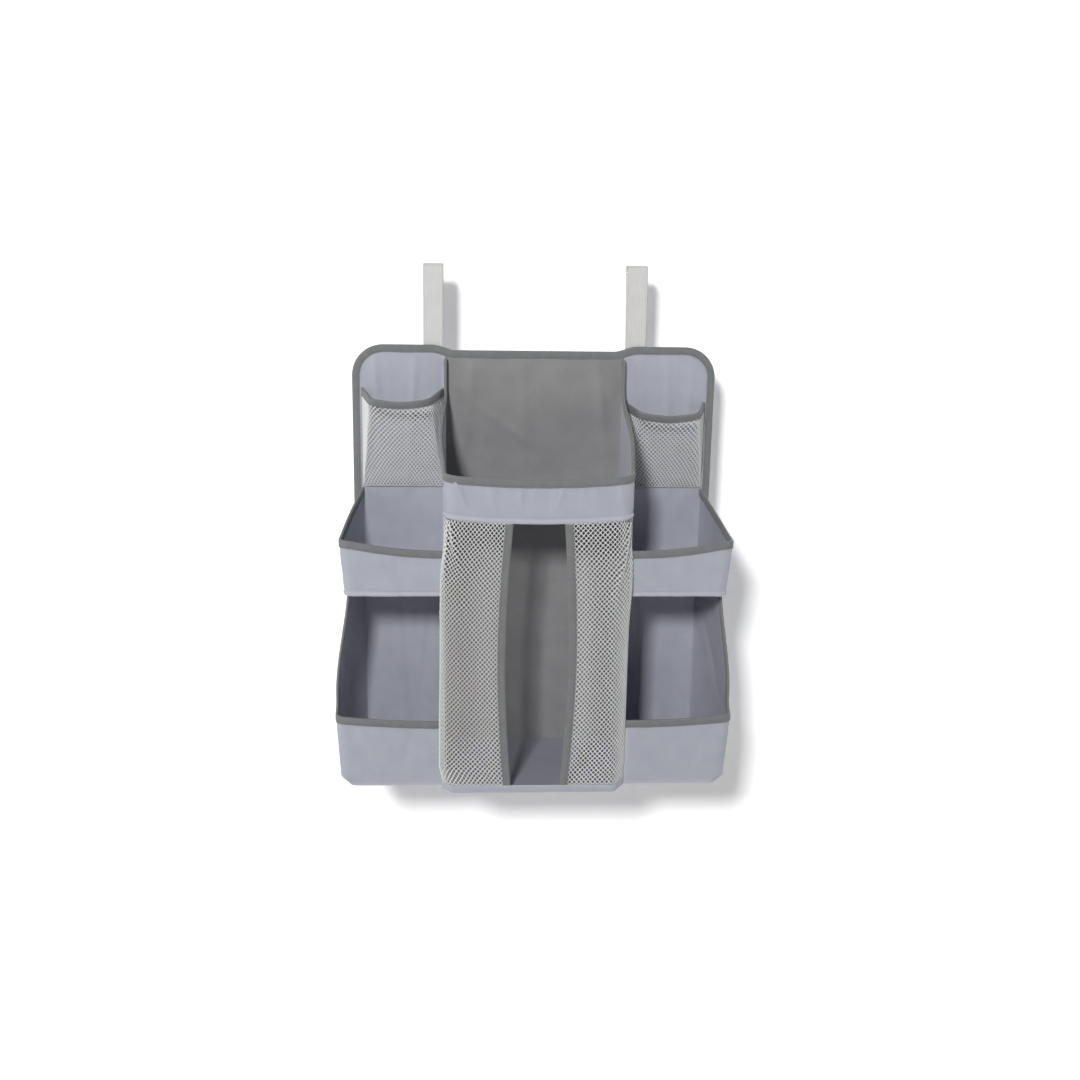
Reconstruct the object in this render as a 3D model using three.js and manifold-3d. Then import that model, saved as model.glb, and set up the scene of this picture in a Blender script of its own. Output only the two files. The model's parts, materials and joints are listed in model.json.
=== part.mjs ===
// Hanging diaper caddy: a stiffened back panel with two hook-and-loop straps, a centre tray over a
// netted diaper compartment, two side trays over two cubbies, and two net pockets.
// Millimetres. X runs across, the front faces -Y, Z is up. Heights are counted from the base,
// and the whole assembly is then placed so that the origin lies on the rail it hangs from.
import * as THREE from "three";
import { mergeVertices } from "three/addons/utils/BufferGeometryUtils.js";
import Module from "manifold-3d";

const wasm = await Module();
wasm.setup();

// Cloth, tape and board stock
const cloth = 1.2;
const lining = 0.9;
const board = 2.2;
const tape = 0.9;
const tapeWidth = 9.5;
const fitGap = 0.3;
const sewGap = 0.5;

// Back panel
const panelWidth = 456;
const panelHeight = 532;
const lobeCornerRadius = 38;
const centreDrop = 6.5;
const centreHalf = 100;
const lobeInnerHalf = 128;
const boardInset = 10;
const boardBottomInset = 4;

// Columns and depths
const dividerHalf = 112;
const centreDepth = 165;
const columnStep = 23;
const sideDepth = centreDepth - columnStep;

// Centre tray
const centreTrayBottom = 344;
const centreTrayTop = 396;
const centreCornerLift = 6;
const centreCornerRadius = 16;
const gussetDrop = 16;
const gussetLedge = 14;
const gussetBendDrop = 60;
const gussetBendRadius = 16;

// Side trays
const sideTrayBottom = 248;
const sideTrayTop = 304;
const trayTopLift = 12;
const trayOverhang = 4;
const trayFlare = 5;
const trayCornerRadius = 11;
const trayBulge = 3;
const trayGussetBack = 350;
const trayGussetPower = 1.5;

// Lower cubbies
const cubbyWallTop = 85;
const cubbyWallLift = 6;
const cubbyInset = 3;
const cubbyTuck = 7;
const cubbyTuckHeight = 10;
const cubbyBelly = 15;
const cubbyMidHeight = 125;
const cubbyCornerRadius = 12;
const cubbyBulge = 9;
const cubbyEdgeBend = 14;

// Diaper compartment
const lipHeight = 10;
const netChamfer = 14;
const slitHalf = 31.5;
const slitBow = 8;

// Floors: a stiffening board slipped into a cloth sleeve
const sleeve = 4;
const floorBoard = 1.6;
const trayFloorLift = 2;

// Net pockets: their mouths hang at different heights, as worn
const pocketMouth = { left: 471, right: 456 };
const pocketBottom = 353;
const pocketDepth = 47;
const pocketFootDepth = 2;
const pocketInnerSeam = 3.5;
const pocketInnerTaper = 16.5;
const pocketOuterSeam = 11.5;
const pocketOuterTaper = 13.5;
const mouthEndLift = 7;
const mouthSag = 4;

// Net stock: diamond gaps between strands
const net = 1;
const netStrand = 2.4;
const netBorder = 3.5;
const netCornerGap = 1;
const curtainGrid = { columns: 3, rows: 14 };
const cornerGrid = { columns: 1, rows: 14 };
const pocketFrontGrid = { columns: 4, rows: 5 };
const pocketSideGrid = { columns: 2, rows: 4 };

// Straps: webbing sewn to the rear of the panel, looped back and closed on itself
const strapHalf = 127.5;
const webbing = 1.6;
const webbingWidth = 25;
const loopRise = 100;
const loopDepth = 26;
const loopRadius = 5;
const rearBendDrop = 8;
const anchorLength = 98;
const patch = 1;
const patchWidth = 22;
const patchRise = 10;
const patchLength = 58;
const tailRise = 4;
const tailBendRise = 80;
const tailBendRadius = 14;

// Fineness of the facets
const arcSteps = 5;
const curveSteps = 6;
const spanSteps = 6;
const derivativeStep = 1e-4;
const overrun = 20;

// Shares of a side box's wall at the end of its front, of its corner and of its side
const frontShare = 1;
const cornerShare = 2;
const wallShare = 3;

// Places that follow from the sizes above
const panelThickness = lining + board + lining;
const panelFace = -panelThickness;
const wallStart = panelFace - fitGap;
const halfCloth = cloth / 2;
const wallBack = panelWidth / 2 - tapeWidth - cloth;
const gussetTop = panelHeight - gussetDrop;
const gussetBend = panelHeight - gussetBendDrop;
const netFrontHalf = dividerHalf - netChamfer;
const pocketInnerBack = dividerHalf + pocketInnerSeam;
const pocketInnerFront = pocketInnerBack + pocketInnerTaper;
const pocketOuterBack = panelWidth / 2 - pocketOuterSeam;
const pocketOuterFront = pocketOuterBack - pocketOuterTaper;
const trayFootHalf = panelWidth / 2 + trayOverhang;
const trayBrimHalf = trayFootHalf + trayFlare;
const cubbyEndHalf = trayFootHalf - cubbyInset;
const cubbyLowHalf = cubbyEndHalf + cubbyTuck;
const cubbyMidHalf = cubbyEndHalf + cubbyBelly;
const innerCloth = dividerHalf + halfCloth + fitGap;
const strapFront = 2 * fitGap + tape;
const strapPlane = strapFront + webbing / 2;
const loopRear = strapPlane + loopDepth;
const hingeHeight = panelHeight + tape + 2 * fitGap;
const loopTop = panelHeight + loopRise;
const anchorBottom = panelHeight - anchorLength;
const patchBottom = anchorBottom + patchRise;
const tailBottom = anchorBottom + tailRise;
const tailBend = anchorBottom + tailBendRise;
const strapEnd = loopTop - webbing / 2 - rearBendDrop;
const railHeight = loopTop - webbing;
const railDepth = strapPlane + loopDepth / 2;

const lilac = finish(0xa9abb8, 0.62);
const lilacShade = finish(0x9a9ba8, 0.66);
const greyLining = finish(0x969696, 0.7);
const greyTape = finish(0x7c7e80, 0.78);
const whiteNet = finish(0xe4e4e2, 0.7);
const webbingWhite = finish(0xd1d0cd, 0.8);
const paperboard = finish(0xb7a68a, 0.9);
const hookGrey = finish(0xd8d8d6, 0.95);

const caddy = new THREE.Group();
caddy.position.set(0, -railDepth, -railHeight);

function finish(color, roughness) {
  return new THREE.MeshStandardMaterial({ color, roughness, metalness: 0 });
}

function add(name, geometry, material) {
  const mesh = new THREE.Mesh(geometry, material);
  mesh.name = name;
  caddy.add(mesh);
}

function vector(x, y, z) {
  return new THREE.Vector3(x, y, z);
}

function mix(from, to, share) {
  return from + (to - from) * share;
}

function steps(from, to, count) {
  return Array.from({ length: count + 1 }, (_, i) => mix(from, to, i / count));
}

// A closed geometry from points and triangles, turned right side out
function closedGeometry(points, triangles) {
  let volume = 0;
  for (const [a, b, c] of triangles) {
    volume += points[a].dot(points[b].clone().cross(points[c]));
  }
  const index = triangles.flatMap(([a, b, c]) => (volume < 0 ? [a, c, b] : [a, b, c]));
  const geometry = new THREE.BufferGeometry().setFromPoints(points);
  geometry.setIndex(index);
  geometry.computeVertexNormals();
  return geometry;
}

// Triangles of a belt between two rings of the same length
function belt(triangles, first, second, length) {
  for (let k = 0; k < length; k++) {
    const next = (k + 1) % length;
    triangles.push([first + k, first + next, second + next], [first + k, second + next, second + k]);
  }
}

// A sheet of cloth along surface(u, v), thickened evenly to both sides
function sheet(surface, us, vs, thickness) {
  const points = [];
  const triangles = [];
  for (const side of [thickness / 2, -thickness / 2]) {
    for (const u of us) {
      for (const v of vs) {
        const along = slope((t) => surface(t, v), u, us);
        const up = slope((t) => surface(u, t), v, vs);
        const normal = along.cross(up).normalize();
        points.push(surface(u, v).addScaledVector(normal, side));
      }
    }
  }
  const rows = vs.length;
  const layer = us.length * rows;
  for (let i = 0; i < us.length - 1; i++) {
    for (let j = 0; j < rows - 1; j++) {
      const a = i * rows + j;
      const b = a + rows;
      triangles.push([a, b, b + 1], [a, b + 1, a + 1]);
      triangles.push([layer + a, layer + b + 1, layer + b], [layer + a, layer + a + 1, layer + b + 1]);
    }
  }
  const rim = [];
  for (let i = 0; i < us.length - 1; i++) rim.push(i * rows);
  for (let j = 0; j < rows - 1; j++) rim.push((us.length - 1) * rows + j);
  for (let i = us.length - 1; i > 0; i--) rim.push(i * rows + rows - 1);
  for (let j = rows - 1; j > 0; j--) rim.push(j);
  rim.forEach((a, k) => {
    const b = rim[(k + 1) % rim.length];
    triangles.push([a, layer + b, b], [a, layer + a, layer + b]);
  });
  return closedGeometry(points, triangles);
}

// Direction of a curve at one station, measured inside its own range
function slope(curve, at, stations) {
  const low = Math.max(at - derivativeStep, Math.min(...stations));
  const high = Math.min(at + derivativeStep, Math.max(...stations));
  return curve(high).sub(curve(low));
}

// Folded tape sewn over the edge of a sheet: a U section swept along the edge. Each station holds
// the edge point, the sheet's normal and, where it can't be worked out, the way into the sheet.
function boundEdge(stations, thickness, into) {
  const slot = thickness / 2 + fitGap;
  const outside = slot + tape;
  const top = -fitGap - tape;
  const foot = top + tapeWidth;
  const section = [
    [-outside, top], [outside, top], [outside, foot], [slot, foot],
    [slot, -fitGap], [-slot, -fitGap], [-slot, foot], [-outside, foot],
  ];
  const directions = stations.map((station, i) => {
    const before = stations[Math.max(i - 1, 0)].at;
    const after = stations[Math.min(i + 1, stations.length - 1)].at;
    return station.normal.clone().cross(after.clone().sub(before)).normalize();
  });
  const sign = Math.sign(directions[0].dot(into));
  const points = [];
  stations.forEach((station, i) => {
    const inward = station.into ?? directions[i].multiplyScalar(sign);
    for (const [across, down] of section) {
      points.push(station.at.clone().addScaledVector(station.normal, across).addScaledVector(inward, down));
    }
  });
  const triangles = [];
  const size = section.length;
  for (let i = 0; i < stations.length - 1; i++) belt(triangles, i * size, (i + 1) * size, size);
  const last = (stations.length - 1) * size;
  const cap = THREE.ShapeUtils.triangulateShape(section.map(([a, b]) => new THREE.Vector2(a, b)), []);
  for (const [a, b, c] of cap) triangles.push([a, c, b], [last + a, last + b, last + c]);
  return closedGeometry(points, triangles);
}

// Profiles in the three main planes, extruded
function upright(shape, rear, depth) {
  const geometry = new THREE.ExtrudeGeometry(shape, { depth, bevelEnabled: false });
  const basis = new THREE.Matrix4().makeBasis(vector(1, 0, 0), vector(0, 0, 1), vector(0, -1, 0));
  return geometry.applyMatrix4(basis).translate(0, rear, 0);
}

function sideways(shape, centre, width) {
  const geometry = new THREE.ExtrudeGeometry(shape, { depth: width, bevelEnabled: false });
  const basis = new THREE.Matrix4().makeBasis(vector(0, -1, 0), vector(0, 0, 1), vector(-1, 0, 0));
  return geometry.applyMatrix4(basis).translate(centre + width / 2, 0, 0);
}

function flat(shape, bottom, height) {
  return new THREE.ExtrudeGeometry(shape, { depth: height, bevelEnabled: false }).translate(0, 0, bottom);
}

function shapeOf(points) {
  return new THREE.Shape(points.map(([x, y]) => new THREE.Vector2(x, y)));
}

// Cutting and joining
function solidOf(geometry) {
  const bare = geometry.clone();
  bare.deleteAttribute("normal");
  bare.deleteAttribute("uv");
  const merged = mergeVertices(bare);
  const vertProperties = new Float32Array(merged.attributes.position.array);
  const triVerts = new Uint32Array(merged.index.array);
  return new wasm.Manifold(new wasm.Mesh({ numProp: 3, vertProperties, triVerts }));
}

function geometryOf(solid) {
  const mesh = solid.getMesh();
  const geometry = new THREE.BufferGeometry();
  geometry.setAttribute("position", new THREE.BufferAttribute(new Float32Array(mesh.vertProperties), 3));
  geometry.setIndex(new THREE.BufferAttribute(new Uint32Array(mesh.triVerts), 1));
  geometry.computeVertexNormals();
  return geometry;
}

// A flat net: an outline in its own plane with staggered diamond gaps.
// place(u, v) gives the point in the plane, u across and v up, each from 0 to 1.
function netOf(place, width, height, grid, toSpace) {
  const borderU = netBorder / width;
  const borderV = netBorder / height;
  const cellU = (1 - 2 * borderU) / grid.columns;
  const cellV = (1 - 2 * borderV) / grid.rows;
  const spanU = cellU * width;
  const spanV = cellV * height;
  const strandShare = netStrand / 2 / ((spanU * spanV) / Math.hypot(spanU, spanV));
  const at = (u, v) => new THREE.Vector2(...place(u, v));
  const edge = steps(0, 1, spanSteps).slice(0, -1);
  const outline = [
    ...edge.map((t) => at(t, 0)), ...edge.map((t) => at(1, t)),
    ...edge.map((t) => at(1 - t, 1)), ...edge.map((t) => at(0, 1 - t)),
  ];
  const shape = new THREE.Shape(outline);
  const gap = (column, row) => {
    const u = borderU + column * cellU;
    const v = borderV + row * cellV;
    const halfU = (0.5 - strandShare) * cellU;
    const halfV = (0.5 - strandShare) * cellV;
    const corners = [at(u, v - halfV), at(u + halfU, v), at(u, v + halfV), at(u - halfU, v)];
    shape.holes.push(new THREE.Path(corners));
  };
  for (let i = 0; i < grid.columns; i++) {
    for (let j = 0; j < grid.rows; j++) {
      gap(i + 0.5, j + 0.5);
      if (i > 0 && j > 0) gap(i, j);
    }
  }
  const geometry = new THREE.ExtrudeGeometry(shape, { depth: net, bevelEnabled: false });
  return geometry.translate(0, 0, -net / 2).applyMatrix4(toSpace);
}

// The plane through one point, with a level direction across and another direction up the net
function netPlane(corner, across, up) {
  const side = across.clone().normalize();
  const facing = side.clone().cross(up).normalize();
  return new THREE.Matrix4().makeBasis(side, facing.clone().cross(side), facing).setPosition(corner);
}

// Outline of the back panel, from its lower left corner over the lobes to its lower right corner
function panelPath(inset) {
  const half = panelWidth / 2 - inset;
  const top = panelHeight - inset;
  const low = top - centreDrop;
  const radius = lobeCornerRadius - inset;
  const blend = (lobeInnerHalf - centreHalf) / 2;
  const turn = (side, from, to) =>
    steps(from, to, 2 * arcSteps).map((angle) => [
      side * (half - radius + radius * Math.cos(angle)), top - radius + radius * Math.sin(angle),
    ]);
  const ease = steps(0, 1, curveSteps).map((t) => {
    const curve = new THREE.CubicBezierCurve(
      new THREE.Vector2(lobeInnerHalf, top), new THREE.Vector2(lobeInnerHalf - blend, top),
      new THREE.Vector2(centreHalf + blend, low), new THREE.Vector2(centreHalf, low),
    );
    return curve.getPoint(t).toArray();
  });
  const right = [...turn(1, 0, Math.PI / 2), ...ease].reverse();
  const left = right.map(([x, z]) => [-x, z]).reverse();
  return [[-half, 0], ...left, ...right, [half, 0]];
}

function backPanel() {
  const outline = shapeOf(panelPath(0));
  add("rear_cloth", upright(outline, 0, lining), lilacShade);
  const boardOutline = panelPath(boardInset).map(([x, z]) => [x, Math.max(z, boardBottomInset)]);
  add("back_board", upright(shapeOf(boardOutline), -lining, board), paperboard);
  const front = solidOf(upright(outline, -lining - board, lining));
  const column = shapeOf([
    [-dividerHalf, -overrun], [dividerHalf, -overrun],
    [dividerHalf, panelHeight + overrun], [-dividerHalf, panelHeight + overrun],
  ]);
  const middle = solidOf(upright(column, overrun, panelThickness + 2 * overrun));
  add("centre_lining", geometryOf(front.intersect(middle)), greyLining);
  const lobes = front.subtract(middle).decompose();
  for (const lobe of lobes) {
    const box = lobe.boundingBox();
    add(box.min[0] < 0 ? "left_front_cloth" : "right_front_cloth", geometryOf(lobe), lilac);
  }
  const stations = panelPath(0).map(([x, z]) => ({
    at: vector(x, -panelThickness / 2, z), normal: vector(0, -1, 0),
  }));
  stations[0].into = vector(1, 0, 0);
  stations[stations.length - 1].into = vector(-1, 0, 0);
  add("edge_binding", boundEdge(stations, panelThickness, vector(1, 0, 0)), greyTape);
}

// Height of the centre tray's front edge and foot, lifted towards the corners
function centreLift(x) {
  return centreCornerLift * (x / dividerHalf) ** 2;
}

// Plan line of the centre tray's front wall, from the left divider round to the right one
function centreFront(u) {
  const flatHalf = dividerHalf - centreCornerRadius;
  const turn = (u - Math.sign(u)) * Math.PI / 2;
  if (Math.abs(u) <= 1) return [u * flatHalf, -centreDepth];
  return [
    Math.sign(u) * (flatHalf + centreCornerRadius * Math.sin(Math.abs(turn))),
    -centreDepth + centreCornerRadius * (1 - Math.cos(turn)),
  ];
}

// Upper edge of a divider, from its ledge at the panel down to the front of the centre tray
function gussetEdge() {
  const frontDepth = centreDepth - centreCornerRadius;
  const frontHeight = centreTrayTop + centreCornerLift;
  const bend = new THREE.Vector2(gussetLedge, gussetBend);
  const front = new THREE.Vector2(frontDepth, frontHeight);
  const start = new THREE.Vector2(gussetLedge, gussetBend + gussetBendRadius);
  const leave = bend.clone().add(front.clone().sub(bend).setLength(gussetBendRadius));
  const round = new THREE.QuadraticBezierCurve(start, bend, leave).getPoints(arcSteps);
  const slack = leave.clone().add(front).multiplyScalar(0.5).sub(new THREE.Vector2(0, mouthSag));
  const run = new THREE.QuadraticBezierCurve(leave, slack, front).getPoints(curveSteps).slice(1);
  return [new THREE.Vector2(gussetLedge, gussetTop), ...round, ...run].map((p) => p.toArray());
}

function centreTray() {
  const trayFoot = centreTrayBottom + centreCornerLift - sewGap;
  const returnDepth = centreDepth - centreCornerRadius - fitGap;
  const edge = gussetEdge();
  const frontTop = edge[edge.length - 1][1];
  const profile = shapeOf([
    [-panelFace, 0], [sideDepth, 0], [sideDepth, trayFoot], [returnDepth, trayFoot],
    [returnDepth, frontTop], ...edge.slice(0, -1).reverse(), [-panelFace, gussetTop],
  ]);
  add("left_divider", sideways(profile, -dividerHalf, cloth), lilac);
  add("right_divider", sideways(profile, dividerHalf, cloth), lilac);

  const us = [
    ...steps(-2, -1, arcSteps), ...steps(-1, 1, 2 * spanSteps).slice(1), ...steps(1, 2, arcSteps).slice(1),
  ];
  const wall = (u, v) => {
    const [x, y] = centreFront(u);
    return vector(x, y, mix(centreTrayBottom, centreTrayTop, v) + centreLift(x));
  };
  add("centre_tray_front", sheet(wall, us, steps(0, 1, 2), cloth), lilac);

  const side = (sign) => edge.map(([depth, height]) => ({
    at: vector(sign * dividerHalf, -depth, height), normal: vector(sign, 0, 0),
  }));
  const front = us.slice(1, -1).map((u) => {
    const [x, y] = centreFront(u);
    const turn = Math.max(Math.abs(u) - 1, 0) * Math.PI / 2;
    return {
      at: vector(x, y, centreTrayTop + centreLift(x)),
      normal: vector(Math.sign(u) * Math.sin(turn), -Math.cos(turn), 0),
    };
  });
  const stations = [...side(-1), ...front, ...side(1).reverse()];
  const ledgeRoom = gussetLedge + panelFace - fitGap;
  stations[0].into = vector(0, ledgeRoom / tapeWidth, 0);
  stations[stations.length - 1].into = stations[0].into.clone();
  add("centre_tray_binding", boundEdge(stations, cloth, vector(0, 1, 0)), greyTape);

  const inside = dividerHalf - halfCloth - fitGap;
  const frontInside = centreDepth - halfCloth - fitGap;
  const radius = centreCornerRadius - halfCloth - fitGap;
  const corner = (sign, from, to) =>
    steps(from, to, arcSteps).map((angle) => [
      sign * (inside - radius + radius * Math.cos(angle)), -frontInside + radius - radius * Math.sin(angle),
    ]);
  const plan = [
    [-inside, panelFace], ...corner(-1, 0, Math.PI / 2), ...corner(1, Math.PI / 2, 0), [inside, panelFace],
  ];
  const floor = centreTrayBottom + centreCornerLift + fitGap;
  floorWithBoard("centre_tray", plan, floor);
}

// A floor: a cloth sleeve, open along its rear edge, with a board inside it
function floorWithBoard(name, plan, bottom) {
  const skin = (sleeve - floorBoard - 2 * fitGap) / 2;
  const centre = plan.reduce((sum, [x]) => sum + x, 0) / plan.length;
  const middle = (panelFace + Math.min(...plan.map(([, y]) => y))) / 2;
  const width = Math.max(...plan.map(([x]) => x)) - Math.min(...plan.map(([x]) => x));
  const depth = panelFace - Math.min(...plan.map(([, y]) => y));
  const shrink = (margin, rear) => plan.map(([x, y]) => [
    centre + (x - centre) * (1 - 2 * margin / width),
    y === panelFace ? rear : middle + (y - middle) * (1 - 2 * margin / depth),
  ]);
  const body = solidOf(flat(shapeOf(plan), bottom, sleeve));
  const room = solidOf(flat(shapeOf(shrink(lining, panelFace + cloth)), bottom + skin, sleeve - 2 * skin));
  add(`${name}_floor`, geometryOf(body.subtract(room)), lilacShade);
  const boardPlan = shrink(lining + 2 * fitGap, panelFace - fitGap);
  add(`${name}_board`, flat(shapeOf(boardPlan), bottom + skin + fitGap, floorBoard), paperboard);
}

// Plan line of a side box's wall: s runs along the front, round the corner and back to the panel
function wrap(s, half, radius, bulge, inset = 0) {
  const back = Math.max(s - cornerShare, 0);
  const turn = Math.min(Math.max(s - frontShare, 0), 1) * Math.PI / 2;
  const round = radius - inset;
  if (s <= frontShare) return [mix(innerCloth, half - radius, s), -sideDepth + inset];
  if (s <= cornerShare) {
    return [half - radius + round * Math.sin(turn), -sideDepth + radius - round * Math.cos(turn)];
  }
  return [
    mix(half, wallBack, back) + bulge * Math.sin(Math.PI * back) - inset,
    mix(-sideDepth + radius, wallStart, back),
  ];
}

// A floor's outline inside such a wall, clear of it, and square to the panel
function floorInside(side, half, radius, bulge) {
  const inset = halfCloth + fitGap + sewGap;
  const edge = [...frontStations, ...cornerStations.slice(1), ...backStations.slice(1, -1)]
    .map((s) => wrap(s, half, radius, bulge, inset));
  const outline = [[innerCloth, panelFace], ...edge, [wallBack - inset, panelFace]];
  return outline.map(([x, y]) => [side * x, y]);
}

// Outward normal of a wall surface(s, height) on one side of the caddy
function facing(surface, s, height, side) {
  const along = slope((t) => surface(t, height), s, [0, wallShare]);
  const up = slope((t) => surface(s, t), height, [0, panelHeight]);
  return along.cross(up).normalize().multiplyScalar(side);
}

const frontStations = steps(0, frontShare, spanSteps);
const cornerStations = steps(frontShare, cornerShare, arcSteps);
const backStations = steps(cornerShare, wallShare, curveSteps);

// Share of a lift reached at one station: it grows along the front wall and is whole from the corner on
function liftShare(s) {
  return Math.min(s, 1) ** 2;
}

function sideTray(name, side) {
  const brim = (s) => sideTrayTop + trayTopLift * liftShare(s)
    + (trayGussetBack - sideTrayTop - trayTopLift) * Math.max(s - cornerShare, 0) ** trayGussetPower;
  const wall = (s, height) => {
    const share = (height - sideTrayBottom) / (sideTrayTop + trayTopLift - sideTrayBottom);
    const half = mix(trayFootHalf, trayBrimHalf, share);
    const [x, y] = wrap(s, half, trayCornerRadius, trayBulge);
    return vector(side * x, y, height);
  };
  const place = (s, v) => wall(s, mix(sideTrayBottom, brim(s), v));
  const front = [...frontStations, ...cornerStations.slice(1)];
  const back = [cornerShare + fitGap / trayCornerRadius, ...backStations.slice(1)];
  add(`${name}_front`, sheet(place, front, steps(0, 1, 2), cloth), lilac);
  add(`${name}_gusset`, sheet(place, back, steps(0, 1, 3), cloth), lilac);

  const stations = [...front, ...backStations.slice(1)].map((s) => ({
    at: place(s, 1), normal: facing(wall, s, brim(s), side),
  }));
  stations[0].into = vector(0, 0, -1);
  Object.assign(stations[stations.length - 1], { normal: vector(side, 0, 0), into: vector(0, 0, -1) });
  add(`${name}_binding`, boundEdge(stations, cloth, vector(0, 0, -1)), greyTape);

  const plan = floorInside(side, trayFootHalf, trayCornerRadius, trayBulge);
  floorWithBoard(name, plan, sideTrayBottom + trayFloorLift);
}

// Half width of a cubby at one height: tucked in at the foot, full at mid height, drawn in under the tray
function cubbyHalf(height) {
  const line = new THREE.SplineCurve([
    new THREE.Vector2(0, cubbyEndHalf), new THREE.Vector2(cubbyTuckHeight, cubbyLowHalf),
    new THREE.Vector2(cubbyMidHeight, cubbyMidHalf), new THREE.Vector2(sideTrayBottom, cubbyEndHalf),
  ]);
  const spans = [0, cubbyTuckHeight, cubbyMidHeight, sideTrayBottom];
  let span = spans.findIndex((limit, i) => i > 0 && height <= limit);
  if (span < 0) span = spans.length - 1;
  const share = (height - spans[span - 1]) / (spans[span] - spans[span - 1]);
  const curved = line.getPoint((span - 1 + share) / (spans.length - 1)).y;
  return Math.max(curved, cubbyEndHalf);
}

// A cubby's side bulges most below mid height and meets the tray's own bulge at the top
function cubbySwell(height) {
  const share = Math.max(height - cubbyMidHeight, 0) / (sideTrayBottom - cubbyMidHeight);
  return mix(cubbyBulge, trayBulge, share);
}

function cubby(name, side) {
  const wallTop = (s) => cubbyWallTop + cubbyWallLift * liftShare(s);
  const brimAtCorner = cubbyWallTop + cubbyWallLift;
  const sideTop = sideTrayBottom - sewGap;
  const at = (s, height) => {
    const [x, y] = wrap(s, cubbyHalf(height), cubbyCornerRadius, cubbySwell(height));
    return vector(side * x, y, height);
  };
  const rise = (s, v) =>
    v < 0.5 ? mix(fitGap, cubbyTuckHeight, 2 * v) : mix(cubbyTuckHeight, wallTop(s), 2 * v - 1);
  const front = [...frontStations, ...cornerStations.slice(1)];
  const frontWall = (s, v) => at(s, rise(s, v));
  add(`${name}_front`, sheet(frontWall, front, steps(0, 1, 4), cloth), lilac);

  // The side wall's front edge starts at the corner seam and, above the front wall, bends up in a
  // quarter circle
  const sideLength = sideDepth - cubbyCornerRadius + wallStart;
  const seam = cornerShare + fitGap / sideLength;
  const edgeAt = (height) => {
    const level = 1 - Math.min(Math.max((height - brimAtCorner) / cubbyEdgeBend, 0), 1);
    return mix(seam, seam + cubbyEdgeBend / sideLength, Math.sqrt(1 - level * level));
  };
  const bendHeights = steps(0, Math.PI / 2, arcSteps)
    .map((angle) => brimAtCorner + cubbyEdgeBend * (1 - Math.cos(angle)));
  const heights = [
    fitGap, cubbyTuckHeight / 2, cubbyTuckHeight, brimAtCorner / 2, ...bendHeights,
    ...steps(brimAtCorner + cubbyEdgeBend, sideTop, curveSteps).slice(1),
  ];
  const across = (u, height) => mix(edgeAt(height), wallShare, u);
  const sideWall = (u, height) => at(across(u, height), height);
  add(`${name}_side`, sheet(sideWall, steps(0, 1, curveSteps), heights, cloth), lilac);

  const along = [
    ...front.map((s) => [s, wallTop(s)]),
    ...heights.filter((height) => height > brimAtCorner).map((height) => [edgeAt(height), height]),
  ];
  const stations = along.map(([s, height]) => ({ at: at(s, height), normal: facing(at, s, height, side) }));
  stations[0].into = vector(0, 0, -1);
  add(`${name}_binding`, boundEdge(stations, cloth, vector(0, 0, -1)), greyTape);

  floorWithBoard(name, floorInside(side, cubbyEndHalf, cubbyCornerRadius, cubbyBulge), 0);
}

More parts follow.
